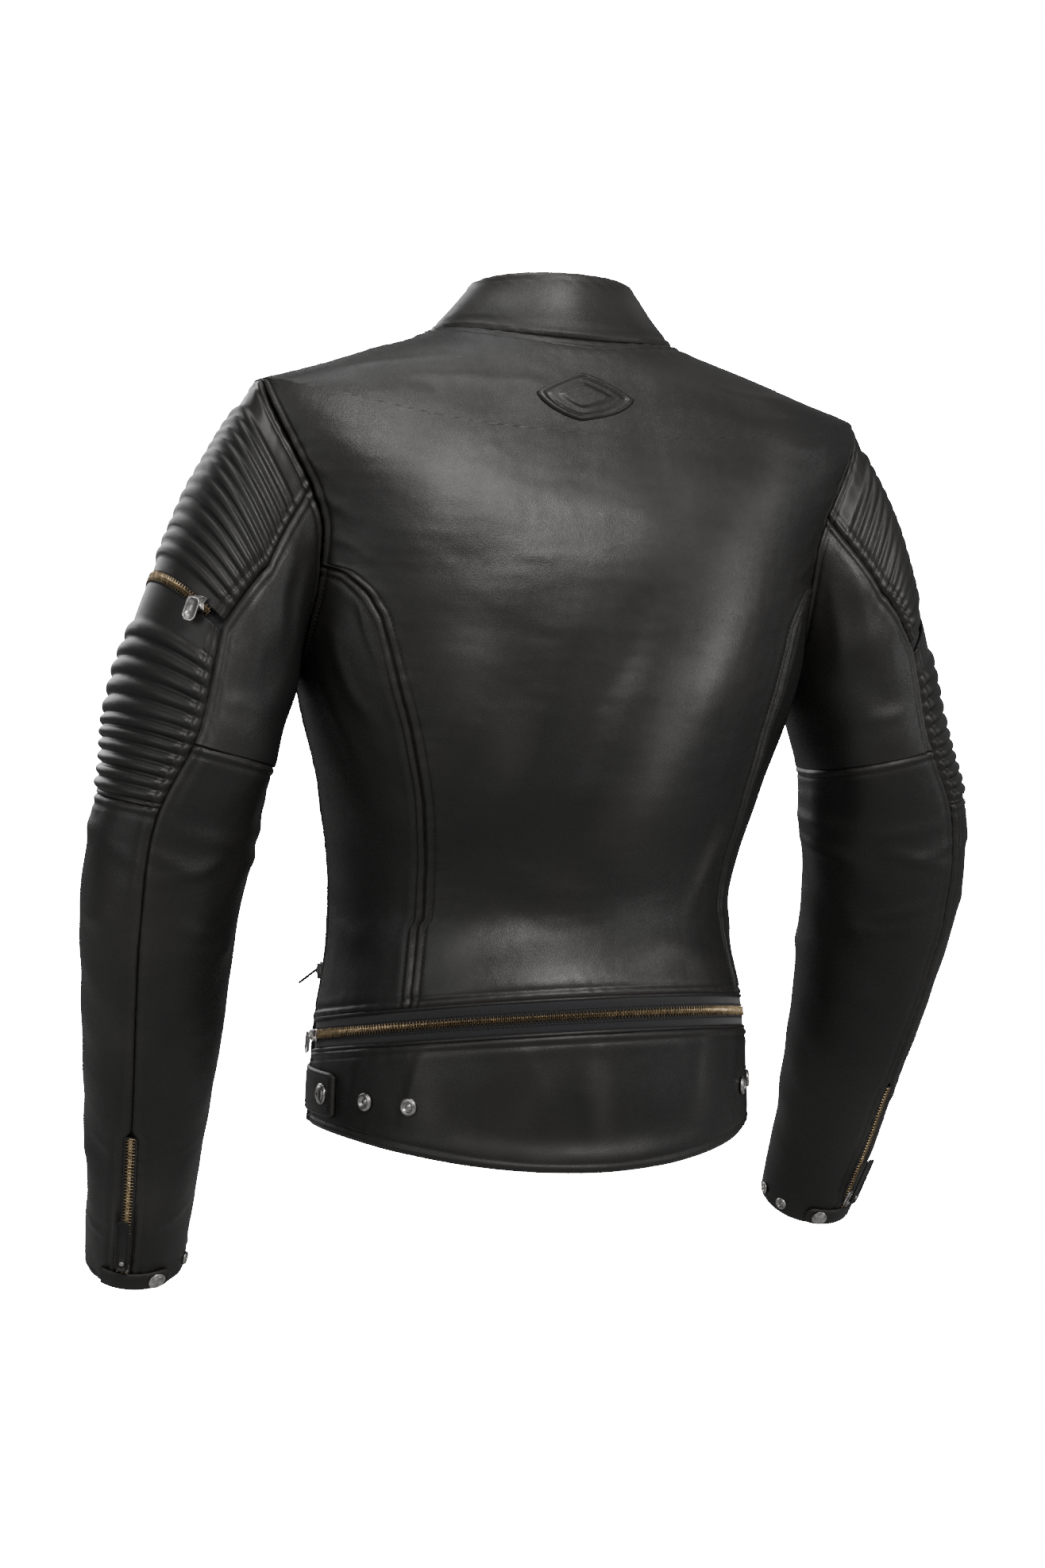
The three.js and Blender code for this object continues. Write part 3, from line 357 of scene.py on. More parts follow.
def ripple(points, wavelength, seed):
    """Soft lumps: the mean of ten sine waves with directions and phases from the seed."""
    rng = np.random.RandomState(seed)
    ways = unit(rng.normal(size=(10, 3)))
    waves = ways * (2 * np.pi / wavelength) * rng.uniform(0.6, 1.5, (10, 1))
    phases = rng.uniform(0, 2 * np.pi, 10)
    return np.sin(points @ waves.T + phases).mean(-1) * 2.2


def fold(points, line, width, height):
    """A soft ridge, or with a negative height a valley, along a line of points: bells of the width are
    laid side by side along the line, fading towards its two ends, and their sum is height at most."""
    line = np.asarray(line, float)
    length = np.concatenate([[0], np.cumsum(np.linalg.norm(np.diff(line, axis=0), axis=1))])
    count = max(6, int(length[-1] / (0.7 * width)))
    even = np.linspace(0, length[-1], count)
    beads = np.stack([np.interp(even, length, line[:, k]) for k in range(3)], 1)
    fade = np.sin(np.pi * (np.arange(count) + 0.5) / count) ** 0.6
    lift = np.zeros(points.shape[:-1])
    for bead, share in zip(beads, fade):
        lift += share * np.exp(-((points - bead) ** 2).sum(-1) / width ** 2)
    return lift * height * (even[1] / (width * math.sqrt(math.pi)))


leather_thickness = 2.2 * MM
stitch_from_seam = 7 * MM


def seam_profile(distance, stitched=True):
    """The section across a seam: the edge sinks into the seam, the leather puffs up beside it, and a
    stitched line presses a second groove."""
    sink = -1.5 * MM * np.exp(-((distance / (1.5 * MM)) ** 2))
    puff = 0.75 * MM * np.exp(-(((distance - 3.6 * MM) / (2.2 * MM)) ** 2))
    groove = -0.8 * MM * np.exp(-(((distance - stitch_from_seam) / (1.1 * MM)) ** 2))
    swell = 0.35 * MM * np.exp(-(((distance - 11 * MM) / (4 * MM)) ** 2))
    return sink + (puff + groove + swell if stitched else 0)


def puckers(along, distance, pitch, seed):
    """Short gathers that run out from a seam and fade with the distance from it."""
    wander = ripple(np.stack([along, distance * 0.3, 0 * along], -1), pitch * 4, seed)
    wave = np.sin(2 * np.pi * along / pitch + 2.2 * wander)
    return wave * (0.35 + 0.65 * np.clip(wander, 0, 1)) * np.exp(-distance / (9 * MM))


def leather_piece(name, surface, a, b, seams, side=1, extra=None, thickness=leather_thickness, gather=0.6):
    """A shell on surface at the parameter grids a and b. seams names the edges that are sewn: left and
    right are the first and last column, low and high the first and last row."""
    foot = surface(a, b)
    normal = outward(surface, a, b)
    step_u = np.linalg.norm(np.diff(foot, axis=1), axis=-1)
    step_v = np.linalg.norm(np.diff(foot, axis=0), axis=-1)
    u = np.concatenate([np.zeros((len(foot), 1)), np.cumsum(step_u, 1)], 1)
    v = np.concatenate([np.zeros((1, foot.shape[1])), np.cumsum(step_v, 0)], 0)
    runs = {"left": (u, v), "right": (u[:, -1:] - u, v), "low": (v, u), "high": (v[-1:] - v, u)}
    lift = np.zeros(foot.shape[:2])
    edge = np.full(foot.shape[:2], 1.0)
    for k, (which, stitched) in enumerate(seams.items()):
        distance, along = runs[which]
        lift += seam_profile(distance, stitched)
        lift += gather * MM * puckers(along, distance, 13 * MM, 31 + 7 * k)
        edge = np.minimum(edge, distance)
    lift += 0.5 * MM * ripple(foot, 60 * MM, 5)
    if extra is not None:
        lift += extra(foot, a, b)
    deepest, ease = 1.4 * MM, 0.35 * MM  # hollows stop before they reach the inside
    lift = np.logaddexp(0, (lift + deepest) / ease) * ease - deepest
    outer = foot + normal * lift[..., None]
    inner = foot - normal * thickness
    worn = np.concatenate([np.exp(-edge / (5 * MM)).ravel(), np.zeros(edge.size)])
    points = np.concatenate([outer.reshape(-1, 3), inner.reshape(-1, 3)]) * [side, 1, 1]
    return make_piece(name, points, shell_faces(*foot.shape[:2]), seam_wear=worn)


def node_group(name, inputs, outputs):
    """An empty shader node group with named inputs (name, default) and outputs (name, kind)."""
    group = bpy.data.node_groups.new(name, "ShaderNodeTree")
    for label, value in inputs:
        socket = group.interface.new_socket(label, in_out="INPUT", socket_type="NodeSocketFloat")
        socket.default_value = value
    for label, kind in outputs:
        group.interface.new_socket(label, in_out="OUTPUT", socket_type=kind)
    return group, group.nodes.new("NodeGroupInput"), group.nodes.new("NodeGroupOutput")


def wire(tree, kind, settings=None, **links):
    """Adds a node of that kind; links give its inputs, each a number, a colour or another socket."""
    node = tree.nodes.new(kind)
    for key, value in (settings or {}).items():
        setattr(node, key, value)
    for key, value in links.items():
        socket = node.inputs[int(key[1:])] if key[0] == "i" and key[1:].isdigit() else node.inputs[key]
        if isinstance(value, bpy.types.NodeSocket):
            tree.links.new(value, socket)
        else:
            socket.default_value = value
    return node


def math_node(tree, operation, a, b=0.0, clamp=False):
    return wire(tree, "ShaderNodeMath", {"operation": operation, "use_clamp": clamp}, i0=a, i1=b).outputs[0]


def ramp(tree, value, low, high):
    """0 below low, 1 above high, and a straight line between them."""
    node = wire(tree, "ShaderNodeMapRange", {"clamp": True}, i0=value, i1=low, i2=high)
    return node.outputs[0]


def make_grain_group():
    """Hide grain: rounded pebbles with fine creases between them, broken up by larger soft patches."""
    group, given, out = node_group(
        "leather_grain", [("Pebbles per metre", 900.0), ("Crease depth", 1.0)],
        [("Height", "NodeSocketFloat"), ("Patches", "NodeSocketFloat"), ("Fine", "NodeSocketFloat"),
         ("Crinkles", "NodeSocketFloat")])
    place = group.nodes.new("ShaderNodeTexCoord").outputs["Object"]
    warp = wire(group, "ShaderNodeTexNoise", Vector=place, Scale=160.0, Detail=2.0)
    shifted = wire(group, "ShaderNodeVectorMath", {"operation": "MULTIPLY_ADD"},
                   i0=warp.outputs["Color"], i1=(0.002, 0.002, 0.002), i2=place).outputs[0]
    cells = wire(group, "ShaderNodeTexVoronoi", {"feature": "DISTANCE_TO_EDGE"},
                 Vector=shifted, Scale=given.outputs[0])
    pebble = ramp(group, cells.outputs["Distance"], 0.0, 0.22)
    fine = wire(group, "ShaderNodeTexNoise", Vector=place, Scale=2600.0, Detail=4.0, Roughness=0.6)
    broad = wire(group, "ShaderNodeTexNoise", Vector=place, Scale=9.0, Detail=4.0, Roughness=0.55)
    crinkle = wire(group, "ShaderNodeTexNoise", {"noise_type": "RIDGED_MULTIFRACTAL"}, Vector=place,
                   Scale=55.0, Detail=4.0, Roughness=0.5)
    depth = math_node(group, "MULTIPLY", pebble, given.outputs[1])
    height = math_node(group, "MULTIPLY_ADD", fine.outputs["Fac"], 0.35)
    group.links.new(depth, height.node.inputs[2])
    group.links.new(height, out.inputs[0])
    group.links.new(ramp(group, broad.outputs["Fac"], 0.35, 0.68), out.inputs[1])
    group.links.new(fine.outputs["Fac"], out.inputs[2])
    group.links.new(crinkle.outputs["Fac"], out.inputs[3])
    return group


grain_group = make_grain_group()


def leather_material(name, dark, pale_and_painted_highlight, roughness, grain_strength=0.16, pebbles=900.0, edge_grey=0.5):
    """Base colour runs from dark to the paler colour with the random patches, the worn edges and the painted
    highlights; the painted highlight mask also lowers the roughness and raises the specular.
    """
    material = bpy.data.materials.new(name)
    material.use_nodes = True
    tree = material.node_tree
    shader = tree.nodes["Principled BSDF"]
    grain = tree.nodes.new("ShaderNodeGroup")
    grain.node_tree = grain_group
    grain.inputs[0].default_value = pebbles
    wear = wire(tree, "ShaderNodeAttribute", {"attribute_name": "seam_wear"}).outputs["Fac"]
    # painted highlight: a mask of lighter colour laid where light falls on the leather, which also makes
    # those places glossier
    highlight_paint = wire(tree, "ShaderNodeAttribute", {"attribute_name": "pale_and_painted_highlight"}).outputs["Fac"]
    worn = math_node(tree, "MULTIPLY", wear, grain.outputs["Fine"])
    share = math_node(tree, "MULTIPLY", grain.outputs["Patches"], 0.28)
    share = math_node(tree, "ADD", share, math_node(tree, "MULTIPLY", worn, edge_grey))
    share = math_node(tree, "ADD", share, highlight_paint, clamp=True)
    colour = wire(tree, "ShaderNodeMix", {"data_type": "RGBA"}, i0=share, i6=(*dark, 1), i7=(*pale_and_painted_highlight, 1))
    tree.links.new(colour.outputs[2], shader.inputs["Base Color"])
    gloss = math_node(tree, "MULTIPLY_ADD", grain.outputs["Patches"], -0.1)
    gloss.node.inputs[2].default_value = roughness + 0.04
    gloss = math_node(tree, "ADD", gloss, math_node(tree, "MULTIPLY", grain.outputs["Fine"], 0.1))
    gloss = math_node(tree, "SUBTRACT", gloss, math_node(tree, "MULTIPLY", highlight_paint, 0.08))
    tree.links.new(gloss, shader.inputs["Roughness"])
    wax = wire(tree, "ShaderNodeMapRange", {"clamp": True}, i0=highlight_paint, i1=0.0, i2=0.7, i3=0.4, i4=0.85)
    tree.links.new(wax.outputs[0], shader.inputs["Specular IOR Level"])
    crinkled = wire(tree, "ShaderNodeBump", Strength=0.22, Distance=0.0016, Height=grain.outputs["Crinkles"])
    bump = wire(tree, "ShaderNodeBump", Strength=grain_strength, Distance=0.0006,
                Height=grain.outputs["Height"], Normal=crinkled.outputs[0])
    tree.links.new(bump.outputs[0], shader.inputs["Normal"])
    return material


# the paler colour serves the random patches, the worn edges and the painted highlights
black_leather = leather_material("black_leather", (0.0075, 0.0074, 0.0074), (0.034, 0.0315, 0.0295), 0.4)


def finish_piece(piece, material, ride=None, blend=None, replaces=()):
    """Gives a piece its material and slot, what it moves with (a piece given a blend only has its transform
    baked), and the CAD nodes it stands for.
    """
    piece.data.materials.append(material)
    if blend:
        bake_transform(piece)
    else:
        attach(piece, ride)
    if replaces:
        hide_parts(*replaces)
    return piece


side_seam = 98.0
shoulder_seam = 90.0
band_half = 11.6 * MM
rear_seam_around = [51.9, 51.2, 48.6, 48, 48.4, 49.5, 51.5, 55.5, 62]
rear_seam_level = [1.18, 1.7, 2.2, 2.8, 3.4, 3.84, 4.2, 4.45, 4.62]
seam_meets_armhole = 105.0


def level_of_height(around, z):
    """The level at which the body reaches height z, by halving the interval."""
    low, high = np.zeros(np.shape(around)), np.full(np.shape(around), 4.0)
    for _ in range(24):
        middle = (low + high) / 2
        under = body(around, middle)[..., 2] < z
        low, high = np.where(under, middle, low), np.where(under, high, middle)
    return low


def band_level(around, side):
    """The level of the waist zip band's upper (+1) or lower (-1) edge."""
    around = np.asarray(around, float)
    return level_of_height(around, body(around, 1.0)[..., 2] + side * band_half)


def curve_through(points, count):
    """Count points spread evenly on the smooth curve through a few points."""
    stations = np.asarray(points, float)
    flat = np.concatenate([stations, np.zeros((len(stations), 3 - stations.shape[1]))], 1)
    t = np.linspace(0, len(stations) - 1, 40 * len(stations))
    dense = smooth_line(np.repeat(flat[:, None], len(t), 1), t)
    length = np.concatenate([[0], np.cumsum(np.linalg.norm(np.diff(dense * [1, 40, 1], axis=0), axis=1))])
    even = np.linspace(0, length[-1], count) if np.isscalar(count) else np.asarray(count) * length[-1]
    return np.stack([np.interp(even, length, dense[:, k]) for k in range(stations.shape[1])], 1)


rear_seam = [(a, l) for a, l in zip(rear_seam_around, rear_seam_level)]
rear_seam[0] = (rear_seam[0][0], float(band_level(rear_seam[0][0], 1)))
rear_seam.append(tuple(armhole(seam_meets_armhole)))
back_edge = np.concatenate([
    curve_through(rear_seam, stops(0.38))[:-1],
    np.stack(armhole(seam_meets_armhole * (1 - stops(0.24))), 1),
    np.stack([np.full(60, shoulder_seam), np.linspace(shoulder_ring, neck_ring, 61)[1:]], 1),
])


def back_grid():
    u = 2 * stops(0.42) - 1
    a = back_edge[:, :1] * u[None]
    level = np.repeat(back_edge[:, 1:], len(u), 1)
    settle = np.clip((1.9 - level) / (1.9 - back_edge[0, 1]), 0, 1)
    return a, level + (band_level(a, 1) - back_edge[0, 1]) * settle


def on_body(*pairs):
    """Points on the body at (around, level) pairs, as a smooth line."""
    line = curve_through(pairs, 24)
    return body(line[:, 0], line[:, 1])


def back_folds(foot, a, level):
    """Broad folds: a slanting hollow from the right blade down to the left waist with a swell on each
    side of it, small drag lines over the zip and on the shoulders, and gathers beside the armholes."""
    lift = fold(foot, on_body((30, 2.0), (16, 2.9), (4, 3.8), (-8, 4.7)), 22 * MM, -5.0 * MM)
    lift += fold(foot, on_body((2, 1.9), (0, 3.6), (0, 5.4)), 62 * MM, 3.4 * MM)
    lift += fold(foot, on_body((42, 2.9), (32, 3.7), (22, 4.6)), 26 * MM, 2.8 * MM)
    lift += fold(foot, on_body((2, 2.0), (-10, 3.0), (-22, 4.0), (-32, 5.0)), 24 * MM, 4.2 * MM)
    lift += fold(foot, on_body((30, 2.4), (12, 2.15), (-8, 2.2)), 16 * MM, 2.2 * MM)
    lift += fold(foot, on_body((36, 1.5), (24, 1.72), (10, 1.6)), 10 * MM, 1.2 * MM)
    lift += fold(foot, on_body((-4, 1.45), (-20, 1.62), (-36, 1.5)), 9 * MM, 1.2 * MM)
    lift += fold(foot, on_body((-28, 1.9), (-38, 2.5)), 8 * MM, 1.3 * MM)
    lift += fold(foot, on_body((44, 1.4), (22, 1.34), (0, 1.38)), 5 * MM, 0.8 * MM)
    lift += fold(foot, on_body((46, 6.55), (30, 6.75), (10, 6.8)), 7 * MM, 1.3 * MM)
    lift += fold(foot, on_body((62, 6.4), (50, 6.8), (34, 7.1)), 6 * MM, 1.2 * MM)
    lift += fold(foot, on_body((-34, 6.9), (-46, 6.6), (-60, 6.5)), 6 * MM, 1.6 * MM)
    lift += fold(foot, on_body((-30, 6.4), (-44, 6.2), (-56, 6.15)), 5 * MM, -1.5 * MM)
    lift += fold(foot, on_body((-36, 5.9), (-48, 5.8), (-60, 5.9)), 6 * MM, 1.4 * MM)
    for side in (1, -1):
        for k in range(5):
            top = 5.5 - 0.28 * k
            line = on_body((side * (78 - 3 * k), top), (side * (69 - 3 * k), top - 0.06),
                           (side * (60 - 3 * k), top - 0.2))
            lift += fold(foot, line, 3.5 * MM, 0.7 * MM)
    return lift + 0.9 * MM * ripple(foot, 120 * MM, 8) + 0.12 * MM * ripple(foot, 13 * MM, 9)


def paint_highlight_and_shade(piece, places, streaks=()):
    """Painted highlights, paler and shinier leather where light falls: bells of given middle, reach and
    strength, and streaks along lines of given width and strength, laid over each other; a negative one takes
    it away again as painted shade."""
    points = np.zeros(len(piece.data.vertices) * 3, np.float32)
    piece.data.vertices.foreach_get("co", points)
    points = points.reshape(-1, 3).astype(float)
    value = np.zeros(len(points))
    for place, reach, strength in places:
        value += strength * np.exp(-(((points - np.asarray(place)) / np.asarray(reach)) ** 2).sum(-1))
    for line, width, strength in streaks:
        value += fold(points, line, width, strength)
    value *= 0.85 + 0.3 * ripple(points, 45 * MM, 12)
    layer = piece.data.attributes.new("pale_and_painted_highlight", "FLOAT", "POINT")
    layer.data.foreach_set("value", np.clip(value, 0, 1).astype(np.float32))
    return piece


sewn_round = {"left": True, "right": True, "low": True, "high": True}
back_leather = leather_piece("back_leather", body, *back_grid(), sewn_round, extra=back_folds)
# Painted highlights over the blades, folds and waist, and a negative streak along the slanting hollow as
# painted shade
paint_highlight_and_shade(back_leather, [
    ((0.0, 0.07, -0.465), (0.13, 0.2, 0.010), 0.3),
    ((0.0, 0.07, -0.035), (0.17, 0.2, 0.012), 0.3),
], [
    (on_body((36, 5.75), (18, 5.5), (0, 5.3), (-18, 5.4)), 34 * MM, 0.5),
    (on_body((22, 4.9), (8, 4.6), (-2, 4.9)), 30 * MM, 0.3),
    (on_body((36, 4.9), (30, 3.9), (22, 3.1)), 20 * MM, 0.35),
    (on_body((-4, 2.6), (-14, 3.5), (-24, 4.3), (-34, 5.2)), 22 * MM, 0.8),
    (on_body((-26, 4.9), (-34, 5.5), (-40, 5.9)), 16 * MM, 0.35),
    (on_body((44, 1.55), (30, 1.75), (20, 1.75)), 12 * MM, 0.4),
    (on_body((-6, 1.5), (-24, 1.6)), 9 * MM, 0.35),
    (on_body((-32, 2.0), (-38, 2.7)), 10 * MM, 0.3),
    (on_body((26, 2.3), (14, 3.0), (2, 3.9), (-6, 4.5)), 15 * MM, -0.5),
])
finish_piece(back_leather, black_leather, "torso", replaces=["back_panel"])

# ---------------------------------------------------------------------------------------------------
# Side panels: black cowhide under each arm, between the curved rear seam and the side seam. They are
# sewn in all round, with a stitched row beside each seam.


def patch(left, right, low, high):
    """A grid of parameter pairs blended from four edges: the sides' blend plus the ends' blend, less
    the blend of the corners."""
    v = np.linspace(0, 1, len(left))[:, None, None]
    u = np.linspace(0, 1, len(low))[None, :, None]
    left, right, low, high = left[:, None], right[:, None], low[None], high[None]
    corners = ((1 - u) * (1 - v) * left[:1] + u * (1 - v) * right[:1]
               + (1 - u) * v * left[-1:] + u * v * right[-1:])
    cells = (1 - u) * left + u * right + (1 - v) * low + v * high - corners
    return cells[..., 0], cells[..., 1]


def side_grid():
    rows, columns = stops(0.34), stops(0.13)
    left = curve_through(rear_seam, rows)
    high = np.stack(armhole(seam_meets_armhole + (180 - seam_meets_armhole) * columns), 1)
    low_around = left[0, 0] + (side_seam - left[0, 0]) * columns
    low = np.stack([low_around, band_level(low_around, 1)], 1)
    right = np.stack([np.full(len(rows), side_seam), low[-1, 1] + (4 - low[-1, 1]) * rows], 1)
    return patch(left, right, low, high)


def side_folds(foot, a, level):
    """Drag lines that fan from the underarm, and a soft hollow at the waist."""
    lift = fold(foot, on_body((70, 4.3), (66, 3.9), (58, 3.5)), 5 * MM, 1.2 * MM)
    lift += fold(foot, on_body((78, 4.1), (72, 3.6), (66, 3.1)), 8 * MM, 1.1 * MM)
    lift += fold(foot, on_body((60, 4.55), (58, 4.3), (54, 4.0)), 3 * MM, 0.9 * MM)
    lift += fold(foot, on_body((90, 2.0), (75, 1.8), (60, 1.9)), 9 * MM, 1.2 * MM)
    return lift + 0.7 * MM * ripple(foot, 70 * MM, 14)


sides = {"left": 1, "right": -1}
for word, side in sides.items():
    piece = leather_piece(f"{word}_side_leather", body, *side_grid(), sewn_round, side, side_folds)
    finish_piece(piece, black_leather, "torso", replaces=[f"{word}_side_panel"])

# ---------------------------------------------------------------------------------------------------
# Front panels: black cowhide from the side seams round to the front zip. They are sewn at the side,
# the zip and the collar, and free along the hem.
front_opening = 3.9 * MM


def front_grid():
    edge = np.concatenate([
        np.stack([np.full(80, side_seam), np.linspace(0, 4, 81)[:-1]], 1),
        np.stack(armhole(180 + 180 * stops(0.42)), 1)[:-1],
        np.stack([np.full(41, shoulder_seam), np.linspace(shoulder_ring, neck_ring, 41)], 1)])
    level = edge[:, 1]
    step = np.linalg.norm(body(179.0, level) - body(180.0, level), axis=-1)
    stop = 180 - front_opening / step
    u = stops(0.27)
    a = edge[:, :1] + (stop[:, None] - edge[:, :1]) * u[None]
    return a, np.repeat(level[:, None], len(u), 1)


def front_folds(foot, a, level):
    """Soft folds over the chest and across the waist."""
    lift = fold(foot, on_body((120, 4.6), (135, 4.2), (150, 4.1)), 16 * MM, 1.6 * MM)
    lift += fold(foot, on_body((110, 2.2), (130, 2.0), (155, 2.2)), 10 * MM, 1.5 * MM)
    return lift + 0.9 * MM * ripple(foot, 90 * MM, 17)


for word, side in sides.items():
    edges = {"left": True, "right": True, "high": True}
    piece = leather_piece(f"{word}_front_leather", body, *front_grid(), edges, side, front_folds)
    finish_piece(piece, black_leather, "torso", replaces=[f"{word}_front_panel"])

# ---------------------------------------------------------------------------------------------------
# Lower back: the band under the waist zip, from side seam to side seam. It hangs in shallow upright
# creases from the zip, and its edge is turned up.


def hem_grid():
    u = 2 * stops(0.56) - 1
    v = stops(0.1)
    a = np.repeat((side_seam * u)[None], len(v), 0)
    return a, band_level(a[0], -1)[None] * v[:, None]


def hem_folds(foot, a, level):
    """Upright creases of differing slant and length."""
    lift = np.zeros(foot.shape[:2])
    for around, lean, width, height in (
            (46, 6, 5, 1.5), (38, -7, 7, 1.3), (24, -9, 6, 0.9), (8, 2, 4, -0.9), (3, 3, 5, 1.0),
            (-18, -5, 8, 1.2), (-30, 5, 6, 1.4), (-44, 3, 6, 1.0), (-64, -4, 6, 0.8), (66, 4, 6, 0.9)):
        line = on_body((around, 0.86), (around + lean * 0.6, 0.55), (around + lean, 0.18))
        lift += fold(foot, line, width * MM, height * MM)
    lift += fold(foot, on_body((40, 0.16), (15, 0.12), (-10, 0.12), (-35, 0.16)), 6 * MM, 1.2 * MM)
    return lift + 0.8 * MM * ripple(foot, 60 * MM, 21)


hem_leather = leather_piece("hem_leather", body, *hem_grid(), sewn_round, extra=hem_folds, gather=0.25)
# Painted highlights along the turned edge and on the ridges of the upright creases
paint_highlight_and_shade(hem_leather, [], [
    (on_body((40, 0.17), (22, 0.14), (4, 0.14), (-12, 0.17)), 7 * MM, 0.6),
    (on_body((44, 0.2), (49, 0.8)), 11 * MM, 0.3),
    (on_body((2, 0.2), (7, 0.85)), 9 * MM, 0.28),
    (on_body((24, 0.3), (12, 0.8)), 10 * MM, 0.14),
    (on_body((-24, 0.25), (-31, 0.85)), 11 * MM, 0.26),
    (on_body((-50, 0.25), (-54, 0.85)), 9 * MM, 0.2),
])
finish_piece(hem_leather, black_leather, "torso", replaces=["hem_panel"])

# ---------------------------------------------------------------------------------------------------
# Stand collar: a firm strip of black cowhide, folded over at its top with a binding along the fold.
# Its lower edge is sewn to the neck.
collar_stop = 175.4
binding_width = 7 * MM


def collar_grid():
    u = 2 * stops(0.42, 0.8 * MM, 2.6 * MM) - 1
    height = np.array([0, 0.02, 0.05, 0.09, 0.14, 0.2, 0.27, 0.35, 0.43, 0.51, 0.59, 0.66, 0.72, 0.77, 0.8])
    return np.meshgrid(collar_stop * u, np.concatenate([height, [0.83, 0.85, 0.88, 0.92, 0.96, 0.985, 1.0]]))


def collar_folds(foot, a, height):
    """Low vertical swells where the collar wraps the neck, and a step down behind the binding."""
    to_top = (1 - height) * 57 * MM
    swell = 1.1 * MM * ripple(foot, 55 * MM, 23) * np.sin(np.pi * np.clip(height, 0, 1))
    step = 0.5 / (1 + np.exp((to_top - binding_width) / (0.5 * MM))) * MM
    groove = -0.5 * MM * np.exp(-((to_top - binding_width) / (0.9 * MM)) ** 2)
    return swell + step + groove


collar_leather = leather_piece(
    "collar_leather", collar_at, *collar_grid(), {"low": True, "high": False}, extra=collar_folds,
    thickness=3.2 * MM)
# Painted highlights on the back of the collar and along its top
paint_highlight_and_shade(collar_leather, [
    ((0.035, 0.02, 0.02), (0.035, 0.08, 0.012), 0.55),
    ((-0.05, 0.0, 0.02), (0.02, 0.08, 0.014), 0.45),
    ((0.0, 0.0, 0.039), (0.2, 0.2, 0.004), 0.35),
])
finish_piece(collar_leather, black_leather, "torso", replaces=["collar"])

# ---------------------------------------------------------------------------------------------------
# Badge: a blank embossed lozenge of black leather, a little glossier than the panels. It lies on the
# yoke under the collar, with a pressed line round it.
badge_half_width = 39 * MM
badge_half_height = 19 * MM
badge_middle = (2.5, 6.62)


def disc_points(rings, spokes):
    """Polar stations: share of the radius for each ring and angle for each spoke."""
    return np.linspace(0, 1, rings + 1)[1:, None], (2 * np.pi * np.arange(spokes) / spokes)[None]


def badge():
    """A closed dome on the yoke. Its outline is a rounded lozenge, its top is raised by 1.8 mm with a
    pressed line inside the edge and a low diamond in the middle."""
    share, angle = disc_points(26, 120)
    reach = 1 / (np.abs(np.cos(angle)) ** 1.25 + np.abs(np.sin(angle)) ** 1.25) ** (1 / 1.25)
    across = share * reach * np.cos(angle) * badge_half_width
    up = share * reach * np.sin(angle) * badge_half_height
    middle_a, middle_l = badge_middle
    per_degree = np.linalg.norm(body(middle_a + 1, middle_l) - body(middle_a - 1, middle_l)) / 2
    per_level = np.linalg.norm(body(middle_a, middle_l + 0.05) - body(middle_a, middle_l - 0.05)) / 0.1
    a, level = middle_a + across / per_degree, middle_l + up / per_level
    foot, normal = body(a, level), outward(body, a, level)
    edge = (1 - share) * badge_half_height + 0 * angle
    lift = (0.4 + 1.7 * np.clip(edge / (1.6 * MM), 0, 1) ** 0.6) * MM
    lift = lift - 0.9 * MM * np.exp(-((edge - 4.2 * MM) / (0.7 * MM)) ** 2)
    lift = lift + 0.8 * MM / (1 + np.exp((share - 0.46) / 0.02))
    outer = foot + normal * lift[..., None]
    inner = foot - normal * 0.6 * MM
    rows, columns = a.shape
    points = np.concatenate([outer.reshape(-1, 3), inner.reshape(-1, 3),
                             outer[:1].mean(1), inner[:1].mean(1)])
    top = grid_faces(rows, columns, 0, True)
    low = grid_faces(rows, columns, rows * columns, True)[:, ::-1]
    i = np.arange(columns)
    k = (i + 1) % columns
    last = (rows - 1) * columns
    rim = np.stack([last + i, last + k, last + k + rows * columns, last + i + rows * columns], 1)
    quads = np.concatenate([top, low, rim])
    tip, base = 2 * rows * columns, 2 * rows * columns + 1
    caps = np.concatenate([np.stack([k, i, 0 * i + tip], 1),
                           np.stack([i + rows * columns, k + rows * columns, 0 * i + base], 1)])
    triangles = np.concatenate([quads[:, [0, 1, 2]], quads[:, [0, 2, 3]], caps])
    return make_piece("yoke_badge", points, triangles, seam_wear=np.concatenate(
        [(0.8 * np.exp(-edge / (2 * MM))).ravel(), np.zeros(rows * columns + 2)]))


badge_leather = leather_material("badge_leather", (0.006, 0.0058, 0.0058), (0.03, 0.028, 0.026), 0.33, 0.12)
finish_piece(badge(), badge_leather, "torso")

# ---------------------------------------------------------------------------------------------------
# Sleeves: ribbed panels outermost at the shoulder and elbow, plain leather round the rest of the upper
# arm, and a forearm tube closed by a zip at the cuff.
rib_turns = [75, 76, 60, 65, 65]
pocket_level = 2.0
pocket_lip = 4.1 * MM
elbow_ribs_end = 3.9
cuff_zip_top = 7.87
cuff_zip_half = 4.7 * MM
rear_turn = 65.0
shoulder_blend = ((231.963, -17.181, -53.0), (290.7, -17.181, -69.5))
elbow_middle = np.array([288.363, -52.18, -392.204]) * MM
elbow_along = np.array([0.092, -0.213, -0.973])


def level_step(turn, level, distance):
    """How many levels of the sleeve cover a distance there."""
    run = sleeve(turn, level + 0.01) - sleeve(turn, level - 0.01)
    return distance / np.linalg.norm(run, axis=-1) * 0.02


def turn_step(turn, level, distance):
    run = sleeve(turn + 1, level) - sleeve(turn - 1, level)
    return distance / np.linalg.norm(run, axis=-1) * 2


def rib_turn(level):
    return np.interp(level, [0, 1, 2, 3, 4], rib_turns)


def side_blend(side, upper, lower, start, end):
    flip = np.array([side, 1, 1])
    return upper, lower, tuple(np.asarray(start) * flip), tuple(np.asarray(end) * flip)


